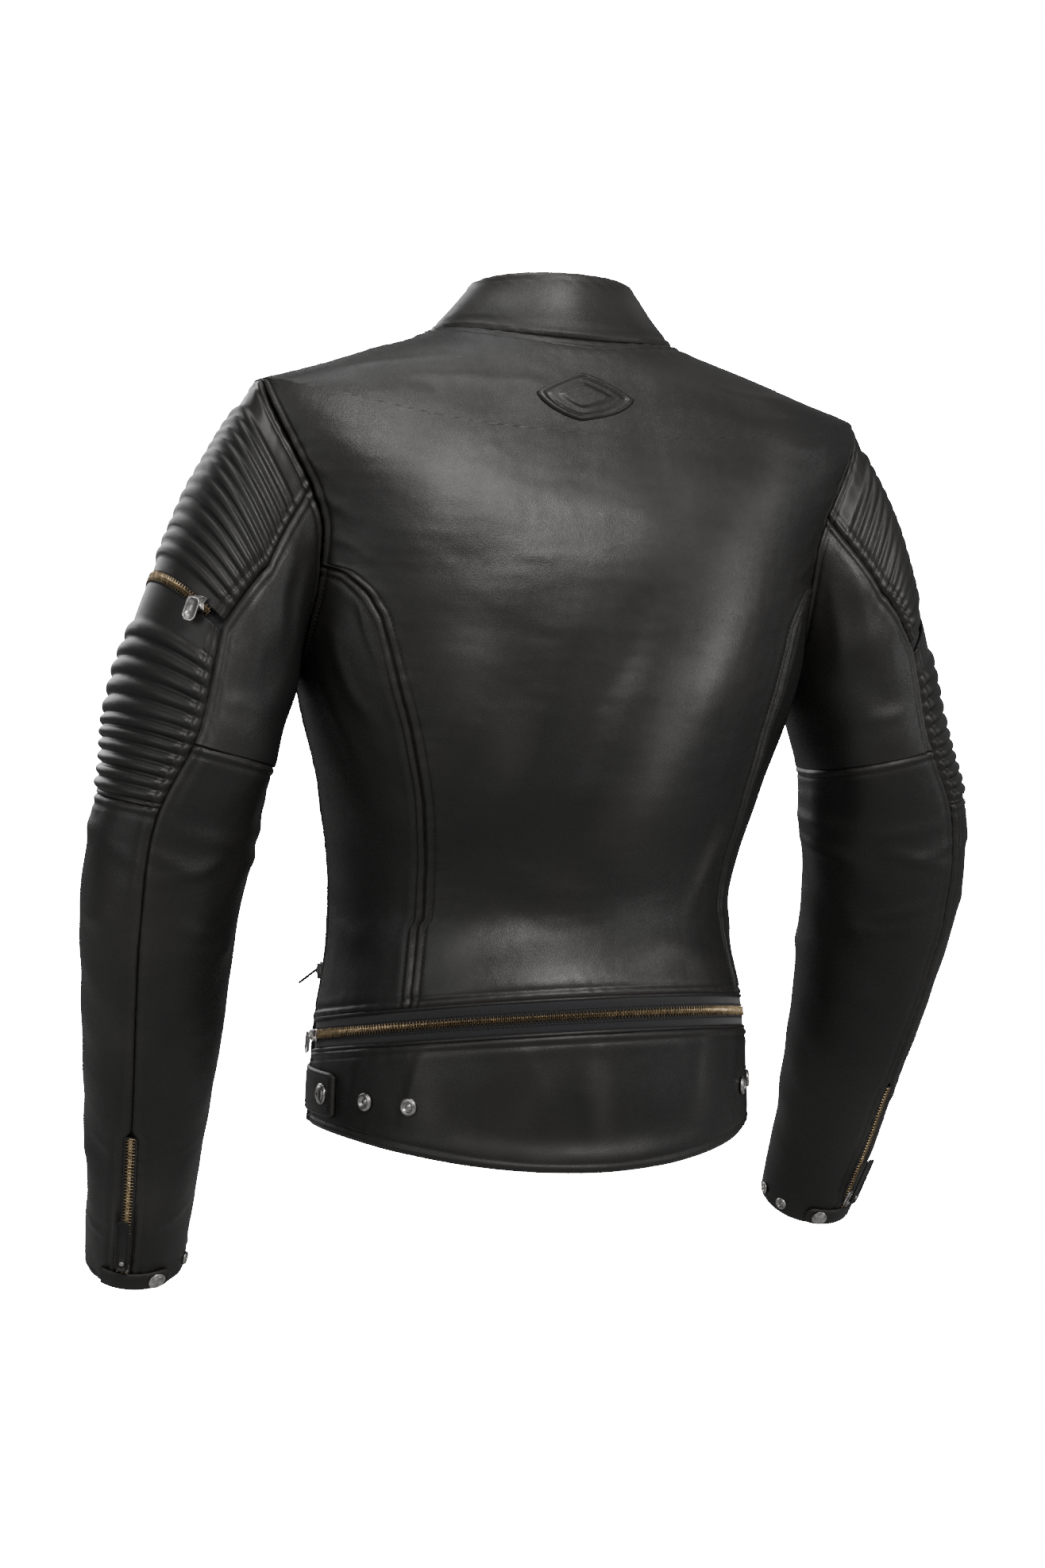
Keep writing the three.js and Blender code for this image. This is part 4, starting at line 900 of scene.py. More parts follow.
def at_shoulder(word, side):
    start, end = (np.array(p) * MM for p in shoulder_blend)
    return side_blend(side, "torso", f"{word}_upper_sleeve", start, end)


def at_elbow(word, side, reach=45 * MM):
    start, end = elbow_middle - elbow_along * reach, elbow_middle + elbow_along * reach
    return side_blend(side, f"{word}_upper_sleeve", f"{word}_forearm", start, end)


def shoulder_grid():
    v = stops(0.16, 0.7 * MM, 1.9 * MM)
    u = 2 * stops(0.2, 0.9 * MM, 2.6 * MM) - 1
    turn = rib_turn(v * pocket_level)[:, None] * u[None]
    top = pocket_level - level_step(rib_turn(pocket_level) * u, pocket_level, pocket_lip)
    return turn, v[:, None] * top[None]


def rib_profile(place, count, sharp=1.6):
    """Round tubes side by side: place counts them, and each is a half cosine with a narrow valley."""
    inside = (place > 0) & (place < count)
    wave = np.abs(np.sin(np.pi * np.clip(place, 0, count)))
    return np.where(inside, wave ** (1 / sharp), 0)


def shoulder_rib_folds(foot, turn, level):
    """Twelve padded ribs across the panel between the plain top and the pocket zip; each is 3.6 mm
    high and softens towards the panel's side seams."""
    place = (level - 0.3) / (1.83 - 0.3) * 12
    to_side = np.clip((rib_turn(level) - np.abs(turn)) / 10, 0, 1)
    return 3.6 * MM * rib_profile(place, 12) * to_side ** 0.5 - 1.0 * MM * (place > 0) * (place < 12)


def elbow_rib_folds(foot, turn, level):
    """Eleven padded ribs over the point of the elbow, wide in the middle of the panel, with plain
    leather above and below them."""
    place = (level - 2.32) / (3.86 - 2.32) * 11
    to_side = np.clip((rib_turn(level) - np.abs(turn)) / 9, 0, 1)
    return 4.0 * MM * rib_profile(place, 11) * to_side ** 0.5 - 1.0 * MM * (place > 0) * (place < 11)


def elbow_grid():
    v = stops(0.19, 0.7 * MM, 1.9 * MM)
    u = 2 * stops(0.17, 0.9 * MM, 2.6 * MM) - 1
    low = pocket_level + level_step(rib_turn(pocket_level) * u, pocket_level, pocket_lip)
    level = low[None] + (elbow_ribs_end - low[None]) * v[:, None]
    return rib_turn(level) * u[None], level


def arm_seam_level(turn):
    """The seam round the back and inside of the arm above the elbow: level 3.13 at both ribbed edges,
    rising by 0.18 levels on the inside of the arm."""
    return 3.13 - 0.18 * np.sin(np.pi * (turn - rear_turn) / 230) ** 2


def upper_grid():
    v, u = stops(0.2), stops(0.27)
    border = rib_turn(v * 3.13)[:, None]
    turn = border + (360 - 2 * border) * u[None]
    return turn, v[:, None] * arm_seam_level(np.clip(turn, rear_turn, 360 - rear_turn))


def upper_folds(foot, turn, level):
    """Gathers under the arm, drag lines down the back of the arm, and the kink at the elbow."""
    lift = np.zeros(foot.shape[:2])
    for t0, l0, t1, l1, width, height in (
            (82, 0.5, 100, 1.3, 7, 1.6), (96, 0.3, 120, 1.0, 6, 1.4), (76, 1.4, 92, 2.2, 8, 1.2),
            (110, 1.2, 96, 2.4, 10, -1.6), (75, 2.6, 110, 2.3, 6, 1.2)):
        line = sleeve(np.linspace(t0, t1, 10), np.linspace(l0, l1, 10))
        lift += fold(foot, line, width * MM, height * MM)
    return lift + 0.8 * MM * ripple(foot, 50 * MM, 41)


def cuff_opening(level):
    """How many degrees each side of the rear seam stands back: a hair above the zip, wider along it."""
    share = np.clip((level - cuff_zip_top + 0.08) / 0.16, 0, 1)
    hair = 0.25 * MM
    return turn_step(rear_turn, level, hair + (cuff_zip_half - hair) * share * share * (3 - 2 * share))


def outer_forearm_grid():
    v, u = stops(0.36, 0.8 * MM, 2.8 * MM), stops(0.1, 0.8 * MM, 2.8 * MM)
    level = elbow_ribs_end + (cuff_level - elbow_ribs_end) * v
    rear = rear_turn - cuff_opening(level)[:, None]
    return -rear_turn + (rear + rear_turn) * u[None], np.repeat(level[:, None], len(u), 1)


def inner_forearm_grid():
    v, u = stops(0.4, 0.8 * MM, 2.8 * MM), stops(0.16, 0.8 * MM, 2.8 * MM)
    rear = rear_turn + cuff_opening(3.13 + (cuff_level - 3.13) * v)[:, None]
    turn = rear + (360 - rear_turn - rear) * u[None]
    start = arm_seam_level(np.clip(turn, rear_turn, 360 - rear_turn))
    return turn, start + (cuff_level - start) * v[:, None]


def forearm_folds(foot, turn, level):
    """The folds that bunch in the bend of the elbow, faint rings of creases down the arm, and the
    pressed line above the cuff's edge."""
    lift = np.zeros(foot.shape[:2])
    for t0, l0, t1, l1, width, height in (
            (80, 4.95, 130, 5.25, 5, 1.6), (90, 5.3, 150, 5.5, 6, 1.4), (10, 5.1, 50, 5.0, 7, 1.3),
            (68, 4.35, 100, 4.5, 4, 1.9), (68, 4.6, 120, 4.35, 4, 1.6), (74, 4.1, 130, 4.2, 5, 1.5),
            (150, 4.5, 220, 4.3, 6, 2.0), (140, 4.1, 230, 4.0, 7, 1.8), (150, 3.6, 210, 3.5, 9, 1.5),
            (230, 4.4, 285, 4.5, 6, 1.4), (62, 4.45, 30, 4.3, 4, 1.5), (-50, 4.25, 50, 4.22, 7, 1.6),
            (200, 6.1, 280, 6.3, 7, 1.5), (78, 7.9, 130, 8.05, 4, 1.0), (84, 8.3, 140, 8.1, 4, 0.9),
            (20, 8.0, 60, 8.2, 4, 0.8), (-40, 8.6, 20, 8.4, 5, 0.9), (90, 9.4, 150, 9.2, 4, 0.8),
            (100, 6.4, 150, 6.6, 8, 1.0), (0, 9.5, 55, 9.7, 4, 0.8), (70, 10.2, 110, 10.1, 3, 0.7)):
        line = sleeve(np.linspace(t0, t1, 10), np.linspace(l0, l1, 10))
        lift += fold(foot, line, width * MM, height * MM)
    lift -= 0.5 * MM * np.exp(-((level - 10.78) / 0.03) ** 2)
    return lift + 0.7 * MM * ripple(foot, 45 * MM, 43)


ribbed_leather = leather_material(
    "ribbed_leather", (0.0078, 0.0076, 0.0074), (0.034, 0.0315, 0.0295), 0.38, 0.12)
for word, side in sides.items():
    ribs = leather_piece(f"{word}_shoulder_ribs", sleeve, *shoulder_grid(),
                         {"left": True, "right": True, "low": True}, side, shoulder_rib_folds)
    finish_piece(ribs, ribbed_leather, blend=at_shoulder(word, side),
                 replaces=[f"{word}_shoulder_rib_panel"])
    ribs = leather_piece(f"{word}_elbow_ribs", sleeve, *elbow_grid(),
                         {"left": True, "right": True}, side, elbow_rib_folds)
    finish_piece(ribs, ribbed_leather, f"{word}_upper_sleeve",
                 replaces=[f"{word}_elbow_rib_panel"])
    piece = leather_piece(f"{word}_upper_sleeve_leather", sleeve, *upper_grid(),
                          {"left": True, "right": True, "low": True}, side, upper_folds)
    # Painted highlights on the back of the upper arm
    paint_highlight_and_shade(piece, [
        ((side * 0.285, 0.02, -0.30), (0.03, 0.05, 0.06), 0.3),
        ((side * 0.25, 0.0, -0.2), (0.03, 0.05, 0.05), 0.25)])
    finish_piece(piece, black_leather, blend=at_shoulder(word, side),
                 replaces=[f"{word}_upper_sleeve_panel"])
    for part, grid in (("outer", outer_forearm_grid), ("inner", inner_forearm_grid)):
        piece = leather_piece(f"{word}_{part}_forearm_leather", sleeve, *grid(),
                              {"left": True, "right": True, "low": True, "high": False}, side, forearm_folds)
        # Painted highlights down the outside of the forearm
        paint_highlight_and_shade(piece, [
            ((side * 0.33, -0.06, -0.45), (0.03, 0.05, 0.06), 0.35),
            ((side * 0.3, -0.12, -0.6), (0.03, 0.05, 0.06), 0.3)])
        finish_piece(piece, black_leather, blend=at_elbow(word, side),
                     replaces=[f"{word}_forearm_panel"])

# ---------------------------------------------------------------------------------------------------
# Lining: quilted black cloth inside the body and plain tubes of it in the sleeves. It hangs a little
# in from the leather and moves with it.
lining_offset = -15.2 * MM
sleeve_lining_offset = -4.2 * MM


def cloth_material(name, colour, weave=900.0, sheen=0.2):
    """Woven cloth: two crossing sine waves make the threads, and a broad noise varies the dye."""
    material = bpy.data.materials.new(name)
    material.use_nodes = True
    tree = material.node_tree
    shader = tree.nodes["Principled BSDF"]
    place = tree.nodes.new("ShaderNodeTexCoord").outputs["Object"]
    warp = wire(tree, "ShaderNodeTexWave", {"bands_direction": "X"}, Vector=place, Scale=weave / 3)
    weft = wire(tree, "ShaderNodeTexWave", {"bands_direction": "Z"}, Vector=place, Scale=weave / 3)
    threads = math_node(tree, "MULTIPLY", warp.outputs["Fac"], weft.outputs["Fac"])
    dye = wire(tree, "ShaderNodeTexNoise", Vector=place, Scale=30.0, Detail=3.0)
    share = math_node(tree, "MULTIPLY", threads, dye.outputs["Fac"])
    dark = [c * 0.55 for c in colour]
    mixed = wire(tree, "ShaderNodeMix", {"data_type": "RGBA"}, i0=share, i6=(*dark, 1), i7=(*colour, 1))
    tree.links.new(mixed.outputs[2], shader.inputs["Base Color"])
    bump = wire(tree, "ShaderNodeBump", Strength=0.4, Distance=0.0004, Height=threads)
    tree.links.new(bump.outputs[0], shader.inputs["Normal"])
    shader.inputs["Roughness"].default_value = 0.85
    shader.inputs["Sheen Weight"].default_value = sheen
    return material


def offset_surface(surface, distance):
    return lambda a, b: surface(a, b) + outward(surface, a, b) * distance


def quilt(foot, a, b):
    """Square cushions 45 mm wide: a product of two rounded waves, with fine puckers in the valleys."""
    across = np.abs(np.sin(foot[..., 0] * math.pi / 0.045)) * np.abs(np.sin(foot[..., 2] * math.pi / 0.045))
    return 1.6 * MM * across ** 0.5 - 0.8 * MM


lining_cloth = cloth_material("lining_cloth", (0.022, 0.022, 0.026))
lining_body = offset_surface(body, lining_offset)


def armhole_cut(level):
    """How many degrees the lining's edge stands back from the side seam beside the armhole."""
    near = np.interp(level, [0.22, 3.8, 4.1, 4.6, 5.4, 5.9, 6.4, 7.5], [1, 1, 0, 0, 0, 0, 1, 1])
    return np.interp(level, [3.8, 4.1, 4.6, 5.4, 5.9, 6.4], [0, 12, 20, 24, 12, 0]) * (1 - near)


lining_panels = (("back", -97.0, 97.0), ("left_front", 99.0, 168.0), ("right_front", -168.0, -99.0))
for part, low_edge, high_edge in lining_panels:
    u = np.linspace(0, 1, 90)
    level = np.linspace(0.22, 7.5, 150)
    hole = armhole_cut(level)
    start = low_edge + hole * (part != "right_front")
    stop = high_edge - hole * (part != "left_front")
    a = start[:, None] + (stop - start)[:, None] * u[None]
    piece = leather_piece(f"{part}_lining", lining_body, a, np.repeat(level[:, None], len(u), 1), {},
                          extra=quilt, thickness=1.0 * MM)
    finish_piece(piece, lining_cloth, "torso", replaces=["torso_lining"])

lining_sleeve = offset_surface(sleeve, sleeve_lining_offset)
for word, side in sides.items():
    u = np.linspace(-180, 180, 90)[:-1]
    for part, low, high, where in (
            ("upper_sleeve", 0.12, 3.9, at_shoulder),
            ("forearm", 3.86, 10.93, at_elbow)):
        level = np.linspace(low, high, 70)
        turn, rows = np.meshgrid(u, level)
        outer = lining_sleeve(turn, rows)
        inner = outer - outward(sleeve, turn, rows) * 0.8 * MM
        count, columns = turn.shape
        i, k = np.arange(columns), (np.arange(columns) + 1) % columns
        rims = [np.stack([i, k, k + count * columns, i + count * columns], 1),
                np.stack([k, i, i + count * columns, k + count * columns], 1) + (count - 1) * columns]
        faces = np.concatenate([grid_faces(count, columns, 0, True)[:, ::-1],
                                grid_faces(count, columns, count * columns, True), *rims])
        points = np.concatenate([outer.reshape(-1, 3), inner.reshape(-1, 3)]) * [side, 1, 1]
        piece = make_piece(f"{word}_{part}_lining", points, faces)
        finish_piece(piece, lining_cloth, blend=where(word, side))

# ---------------------------------------------------------------------------------------------------
# Zips: brass teeth in two interlocked rows on a dark woven tape, sewn in behind the leather's edges.
# The zip round the waist lies between two leather pipings.


def place_on(surface, a, b, lift, turn=0.0):
    """Where a small part sits: its origin and its axes (side, up, out) as columns, turned about out."""
    a, b = np.asarray(a, float), np.asarray(b, float)
    origin, out = surface(a, b), outward(surface, a, b)
    up = surface(a, b + 0.02) - surface(a, b - 0.02)
    up = unit(up - out * (up * out).sum(-1, keepdims=True))
    across = np.cross(up, out)
    c, s = math.cos(math.radians(turn)), math.sin(math.radians(turn))
    axes = np.stack([across * c + up * s, up * c - across * s, out], -1)
    return origin + out * lift, axes


def turned(profile, spokes=36):
    """A solid of revolution about Z from (radius, height) pairs that start and end on the axis."""
    profile = np.asarray(profile, float) * MM
    angle = 2 * np.pi * np.arange(spokes) / spokes
    rows = profile[1:-1]
    points = np.stack([rows[:, :1] * np.cos(angle), rows[:, :1] * np.sin(angle),
                       np.repeat(rows[:, 1:], spokes, 1)], -1)
    count = len(rows) * spokes
    points = np.concatenate([points.reshape(-1, 3), [[0, 0, profile[0, 1]], [0, 0, profile[-1, 1]]]])
    quads = grid_faces(len(rows), spokes, 0, True)
    i, k = np.arange(spokes), (np.arange(spokes) + 1) % spokes
    low = np.stack([k, i, 0 * i + count], 1)
    high = np.stack([i, k, 0 * i + count + 1], 1) + (len(rows) - 1) * spokes * np.array([1, 1, 0])
    return points, np.concatenate([quads[:, [0, 1, 2]], quads[:, [0, 2, 3]], low, high])


def slab(outline, layers):
    """A solid from a round-the-edge outline (x, y) and layers of (height, how far it is drawn in)."""
    outline = np.asarray(outline, float)
    following, before = np.roll(outline, -1, 0), np.roll(outline, 1, 0)
    way = unit(following - before)
    inward = np.stack([-way[:, 1], way[:, 0]], 1)
    rows = [np.concatenate([outline + inward * draw, np.full((len(outline), 1), height)], 1)
            for height, draw in layers]
    count = len(outline)
    poles = [[*rows[k][:, :2].mean(0), layers[k][0]] for k in (0, -1)]
    points = np.concatenate(rows + [poles])
    quads = grid_faces(len(rows), count, 0, True)
    i, k = np.arange(count), (np.arange(count) + 1) % count
    low = np.stack([k, i, 0 * i + len(rows) * count], 1)
    last = (len(rows) - 1) * count
    high = np.stack([i + last, k + last, 0 * i + len(rows) * count + 1], 1)
    return points * MM, np.concatenate([quads[:, [0, 1, 2]], quads[:, [0, 2, 3]], low, high])


def rounded(corners, radius, steps=4):
    """An outline through rounded corners: each is replaced by points of a curve inside it."""
    corners = np.asarray(corners, float)
    before, following = np.roll(corners, 1, 0), np.roll(corners, -1, 0)
    start = corners + unit(before - corners) * radius
    end = corners + unit(following - corners) * radius
    t = np.linspace(0, 1, steps)[None, :, None]
    curve = (1 - t) ** 2 * start[:, None] + 2 * t * (1 - t) * corners[:, None] + t * t * end[:, None]
    return curve.reshape(-1, 2)


def scatter(name, shape, origins, axes, side=1):
    """One mesh of many copies of a shape (points, faces), each on its own origin and axes."""
    points, faces = shape
    origins, axes = np.reshape(origins, (-1, 3)), np.reshape(axes, (-1, 3, 3))
    spread = (np.einsum("nij,pj->npi", axes, points) + origins[:, None]) * [side, 1, 1]
    copies = faces[None] + (np.arange(len(origins)) * len(points))[:, None, None]
    return make_piece(name, spread.reshape(-1, 3), copies.reshape(-1, faces.shape[1]))


def ribbon(name, centre, across, out, half_width, thickness, lift, side=1, bulge=0.0, columns=9):
    """A closed strip along a line of centres: across and out are its directions at each of them."""
    place = np.linspace(-1, 1, columns)
    top = lift + bulge * (1 - place ** 2)
    face = centre[:, None] + across[:, None] * (place * half_width)[None, :, None]
    outer = face + out[:, None] * top[None, :, None]
    inner = face + out[:, None] * (lift - thickness)
    points = np.concatenate([outer.reshape(-1, 3), inner.reshape(-1, 3)]) * [side, 1, 1]
    return make_piece(name, points, shell_faces(len(centre), columns))


def tube(name, line, out, radius, side=1, spokes=10):
    """A round cord of leather along a line, closed at both ends."""
    way = unit(np.gradient(line, axis=0))
    across = np.cross(way, out)
    angle = 2 * np.pi * np.arange(spokes) / spokes
    ring = across[:, None] * np.cos(angle)[None, :, None] + out[:, None] * np.sin(angle)[None, :, None]
    points = (line[:, None] + ring * radius).reshape(-1, 3)
    points = np.concatenate([points, line[:1], line[-1:]]) * [side, 1, 1]
    quads = grid_faces(len(line), spokes, 0, True)
    i, k = np.arange(spokes), (np.arange(spokes) + 1) % spokes
    last = (len(line) - 1) * spokes
    low = np.stack([k, i, 0 * i + len(line) * spokes], 1)
    high = np.stack([i + last, k + last, 0 * i + len(line) * spokes + 1], 1)
    return make_piece(name, points, np.concatenate([quads[:, [0, 1, 2]], quads[:, [0, 2, 3]], low, high]))


def metal_material(name, colour, dark, roughness):
    """Worn metal: bright colour on top, darker tarnish in noise patches, fine scratches in the gloss."""
    material = bpy.data.materials.new(name)
    material.use_nodes = True
    tree = material.node_tree
    shader = tree.nodes["Principled BSDF"]
    place = tree.nodes.new("ShaderNodeTexCoord").outputs["Object"]
    patches = wire(tree, "ShaderNodeTexNoise", Vector=place, Scale=260.0, Detail=5.0, Roughness=0.65)
    tarnish = ramp(tree, patches.outputs["Fac"], 0.36, 0.66)
    mixed = wire(tree, "ShaderNodeMix", {"data_type": "RGBA"}, i0=tarnish, i6=(*dark, 1), i7=(*colour, 1))
    tree.links.new(mixed.outputs[2], shader.inputs["Base Color"])
    gloss = math_node(tree, "MULTIPLY_ADD", tarnish, -0.18)
    gloss.node.inputs[2].default_value = roughness + 0.14
    tree.links.new(gloss, shader.inputs["Roughness"])
    bump = wire(tree, "ShaderNodeBump", Strength=0.15, Distance=0.0002, Height=patches.outputs["Fac"])
    tree.links.new(bump.outputs[0], shader.inputs["Normal"])
    shader.inputs["Metallic"].default_value = 1.0
    return material


antique_silver = metal_material("antique_silver", (0.62, 0.61, 0.59), (0.24, 0.235, 0.23), 0.26)
brass_teeth = metal_material("brass_teeth", (0.42, 0.32, 0.19), (0.15, 0.115, 0.07), 0.34)
zip_tape = cloth_material("zip_tape", (0.012, 0.013, 0.017), 1500.0)
tooth_pitch = 1.35 * MM


def tooth_shape():
    """One tooth: a block 4.4 mm across with rounded shoulders, thicker at its gripping end."""
    layers = [(0.0, 0.0), (0.75, 0.0), (1.15, 0.22), (1.3, 0.5)]
    return slab([(-2.4, -0.42), (1.4, -0.42), (2.4, -0.55), (2.4, 0.55), (1.4, 0.42), (-2.4, 0.42)], layers)


def zip_line(surface, a, b):
    """Evenly spaced stations along a line on a surface, with the direction along it, across and out."""
    points = surface(a, b)
    length = np.concatenate([[0], np.cumsum(np.linalg.norm(np.diff(points, axis=0), axis=1))])
    even = np.arange(0, length[-1], tooth_pitch)
    a, b = np.interp(even, length, a), np.interp(even, length, b)
    points, out = surface(a, b), outward(surface, a, b)
    way = unit(np.gradient(points, axis=0))
    across = unit(np.cross(way, out))
    return points, way, across, out


def zip_pieces(name, surface, a, b, body_name, lift, tape_half, node, side=1, blend=None):
    """The tape and both rows of teeth of one zip."""
    points, way, across, out = zip_line(surface, a, b)
    points = points + out * (0.5 * MM * ripple(points, 60 * MM, 5))[:, None]
    hand = np.where(np.arange(len(points)) % 2, 1.0, -1.0)[:, None]
    origins = points + across * hand * 0.9 * MM + out * lift
    axes = np.stack([-across * hand, -way * hand, out], -1)
    teeth = scatter(f"{name}_teeth", tooth_shape(), origins, axes, side)
    finish_piece(teeth, brass_teeth, body_name, blend, [node])
    tape = ribbon(f"{name}_tape", points[::3], across[::3], out[::3], tape_half, 0.9 * MM,
                  lift - 0.15 * MM, side)
    finish_piece(tape, zip_tape, body_name, blend)


waist_run = np.linspace(-96, 96, 400)
zip_pieces("waist_zip", body, waist_run, np.full(400, 1.0), "torso", -0.7 * MM, 10.9 * MM, "waist_zip_chain")
for edge, sign in (("upper", 1), ("lower", -1)):
    reach = np.linspace(-97.3, 97.3, 300)
    line = body(reach, band_level(reach, sign)) - 0.9 * MM * outward(body, reach, band_level(reach, sign))
    out = outward(body, reach, band_level(reach, sign))
    line = line + out * (0.5 * MM * ripple(line, 60 * MM, 5))[:, None]
    piping = tube(f"waist_zip_{edge}_piping", line, out, 1.5 * MM)
    finish_piece(piping, black_leather, "torso")

sweep = np.linspace(-50, 50, 160)
zip_pieces("left_sleeve_pocket_zip", sleeve, sweep, np.full(160, pocket_level), "left_upper_sleeve",
           0.1 * MM, 3.9 * MM, "left_sleeve_pocket_zip_chain")
for word, side in sides.items():
    rows = np.linspace(cuff_zip_top + 0.03, cuff_level - 0.05, 80)
    zip_pieces(f"{word}_cuff_zip", sleeve, np.full(80, rear_turn), rows, f"{word}_forearm",
               -0.7 * MM, 4.6 * MM, f"{word}_cuff_zip_chain", side)


def front_line(x, level):
    """A point on the front edge's arc, x to the side; level is the height in millimetres."""
    x, level = np.broadcast_arrays(np.asarray(x, float), np.asarray(level, float))
    y = front_arc[0] - np.sqrt(front_arc[2] ** 2 - (level - front_arc[1]) ** 2)
    return np.stack([x, y, level], -1) * MM + neck_seam


def front_surface(x, level):
    """The same arc, with level counted up from 600 mm below the neck in steps of 100 mm."""
    return front_line(-np.asarray(x, float), np.asarray(level, float) * 100 - 600)


heights = np.linspace(0.59, 5.73, 300)
zip_pieces("front_zip", front_surface, np.zeros(300), heights, "torso", -0.1 * MM, 3.4 * MM,
           "front_zip_chain")


def pocket_surface(x, along):
    """The plane of the hand pocket zip: x across it, along in units of 100 mm up from its low end."""
    x, along = np.broadcast_arrays(np.asarray(x, float), np.asarray(along, float))
    return pocket_low + pocket_up * (along * 0.1)[..., None] + pocket_side * (x * MM)[..., None]


pocket_around = 114.0
pocket_low_height = neck_seam[2] - 474 * MM
pocket_high_height = neck_seam[2] - 378 * MM
pocket_middle_height = neck_seam[2] - 426 * MM
pocket_low = body(pocket_around, level_of_height(pocket_around, pocket_low_height))
pocket_high = body(pocket_around, level_of_height(pocket_around, pocket_high_height))
pocket_up = unit(pocket_high - pocket_low)
pocket_out = outward(body, pocket_around, level_of_height(pocket_around, pocket_middle_height))
pocket_out = unit(pocket_out - pocket_up * (pocket_out @ pocket_up))
pocket_side = np.cross(pocket_up, pocket_out)
pocket_length = np.linalg.norm(pocket_high - pocket_low)
for word, side in sides.items():
    zip_pieces(f"{word}_pocket_zip", pocket_surface, np.zeros(60), np.linspace(0, pocket_length * 10, 60),
               "torso", 1.2 * MM, 5.5 * MM, f"{word}_pocket_zip_chain", side)

# ---------------------------------------------------------------------------------------------------
# Zip sliders and pulls: silver sliders, silver tabs on most of them, and leather pulls with a rivet on
# the cuff and pocket zips.
slider_outline = rounded([(-2.5, -6.5), (2.5, -6.5), (4.5, 2), (4.5, 6.5), (0, 4.7), (-4.5, 6.5), (-4.5, 2)],
                         0.9, 3)
slider_layers = [(0.0, 0.4), (0.4, 0.0), (1.3, 0.0), (1.6, 0.7), (2.4, 0.7), (2.7, 0.0), (3.7, 0.1),
                 (4.2, 0.8)]


def tab_shape(length, half=3.75, thick=1.8):
    """A flat tab that hangs from its eye, with rounded edges and a raised rim."""
    outline = rounded([(-half * 0.6, 1.2), (-half, -1), (-half, -length + 2), (-half * 0.5, -length),
                       (half * 0.5, -length), (half, -length + 2), (half, -1), (half * 0.6, 1.2)], 0.5, 3)
    layers = [(0.0, 0.35), (0.3, 0.0), (thick - 0.3, 0.0), (thick, 0.35), (thick, 1.0), (thick - 0.3, 1.3)]
    return slab(outline[::-1], layers)


def slider_piece(name, origin, axes, side=1):
    piece = scatter(f"{name}_slider_body", slab(slider_outline, slider_layers), origin, axes, side)
    finish_piece(piece, antique_silver, f"{name}_slider", replaces=[f"{name}_slider"])
    bridge = [(0, 2.2), (1.6, 2.2), (1.9, 3.2), (1.9, 5.0), (1.5, 5.6), (0, 5.6)]
    piece = scatter(f"{name}_slider_crown", turned(bridge, 20), origin, axes * [[0.7, 1.5, 1.0]], side)
    finish_piece(piece, antique_silver, f"{name}_slider")


def pull_piece(name, shape, origin, axes, side=1, leather=False):
    piece = scatter(f"{name}_pull_tab", shape, origin, axes, side)
    material, slot = (black_leather, "black_leather") if leather else (antique_silver, "antique_silver")
    finish_piece(piece, material, f"{name}_pull", replaces=[f"{name}_pull"])


def turned_about_out(axes, degrees):
    c, s = math.cos(math.radians(degrees)), math.sin(math.radians(degrees))
    return axes @ np.array([[c, -s, 0], [s, c, 0], [0, 0, 1]])


pull_rise = 5.0 * MM
rivet_profile = [(0, 0), (1.9, 0), (1.9, 0.4), (1.3, 0.9), (0, 1.0)]
origin, axes = place_on(body, 91.5, 1.0, -0.3 * MM, -90)
slider_piece("waist_zip", origin, axes)
pull_piece("waist_zip", tab_shape(13), origin + axes[:, 2] * pull_rise, turned_about_out(axes, 90))
front_slider_height = -52.0
slider_angle = math.asin((front_slider_height - front_arc[1]) / front_arc[2])
out = np.array([0, -math.cos(slider_angle), math.sin(slider_angle)])
up = np.array([0, math.sin(slider_angle), math.cos(slider_angle)])
origin = front_line(0.0, front_slider_height) + out * 0.4 * MM
axes = np.stack([np.cross(up, out), up, out], -1)
slider_piece("front_zip", origin, axes)
pull_piece("front_zip", tab_shape(26), origin + out * pull_rise, axes)
origin, axes = place_on(sleeve, 41, pocket_level, 0.8 * MM, 90)
slider_piece("left_sleeve_pocket_zip", origin, axes)
pull_piece("left_sleeve_pocket_zip", tab_shape(13), origin + axes[:, 2] * pull_rise,
           turned_about_out(axes, 90))
cuff_slider_level = 10.12
for word, side in sides.items():
    origin, axes = place_on(sleeve, rear_turn, cuff_slider_level, 0.3 * MM)
    slider_piece(f"{word}_cuff_zip", origin, axes, side)
    pull_piece(f"{word}_cuff_zip", tab_shape(44), origin + axes[:, 2] * pull_rise, axes, side, True)
    rivet = scatter(f"{word}_cuff_pull_rivet", turned(rivet_profile, 20),
                    origin + axes[:, 2] * (pull_rise + 1.7 * MM) - axes[:, 1] * 5 * MM, axes, side)
    finish_piece(rivet, antique_silver, f"{word}_cuff_zip_pull")
    pocket_axes = np.stack([pocket_side, pocket_up, pocket_out], -1)
    origin = pocket_low + pocket_up * 7.8 * MM + pocket_out * 2.55 * MM
    slider_piece(f"{word}_pocket_zip", origin, pocket_axes, side)
    tilt = math.radians(-50)
    lean = np.array([[1, 0, 0], [0, math.cos(tilt), -math.sin(tilt)], [0, math.sin(tilt), math.cos(tilt)]])
    pull_axes = pocket_axes @ lean
    hinge = origin + pocket_out * (pull_rise + 0.9 * MM) - pull_axes[:, 2] * 0.9 * MM
    pull_piece(f"{word}_pocket_zip", tab_shape(17), hinge, pull_axes, side, True)

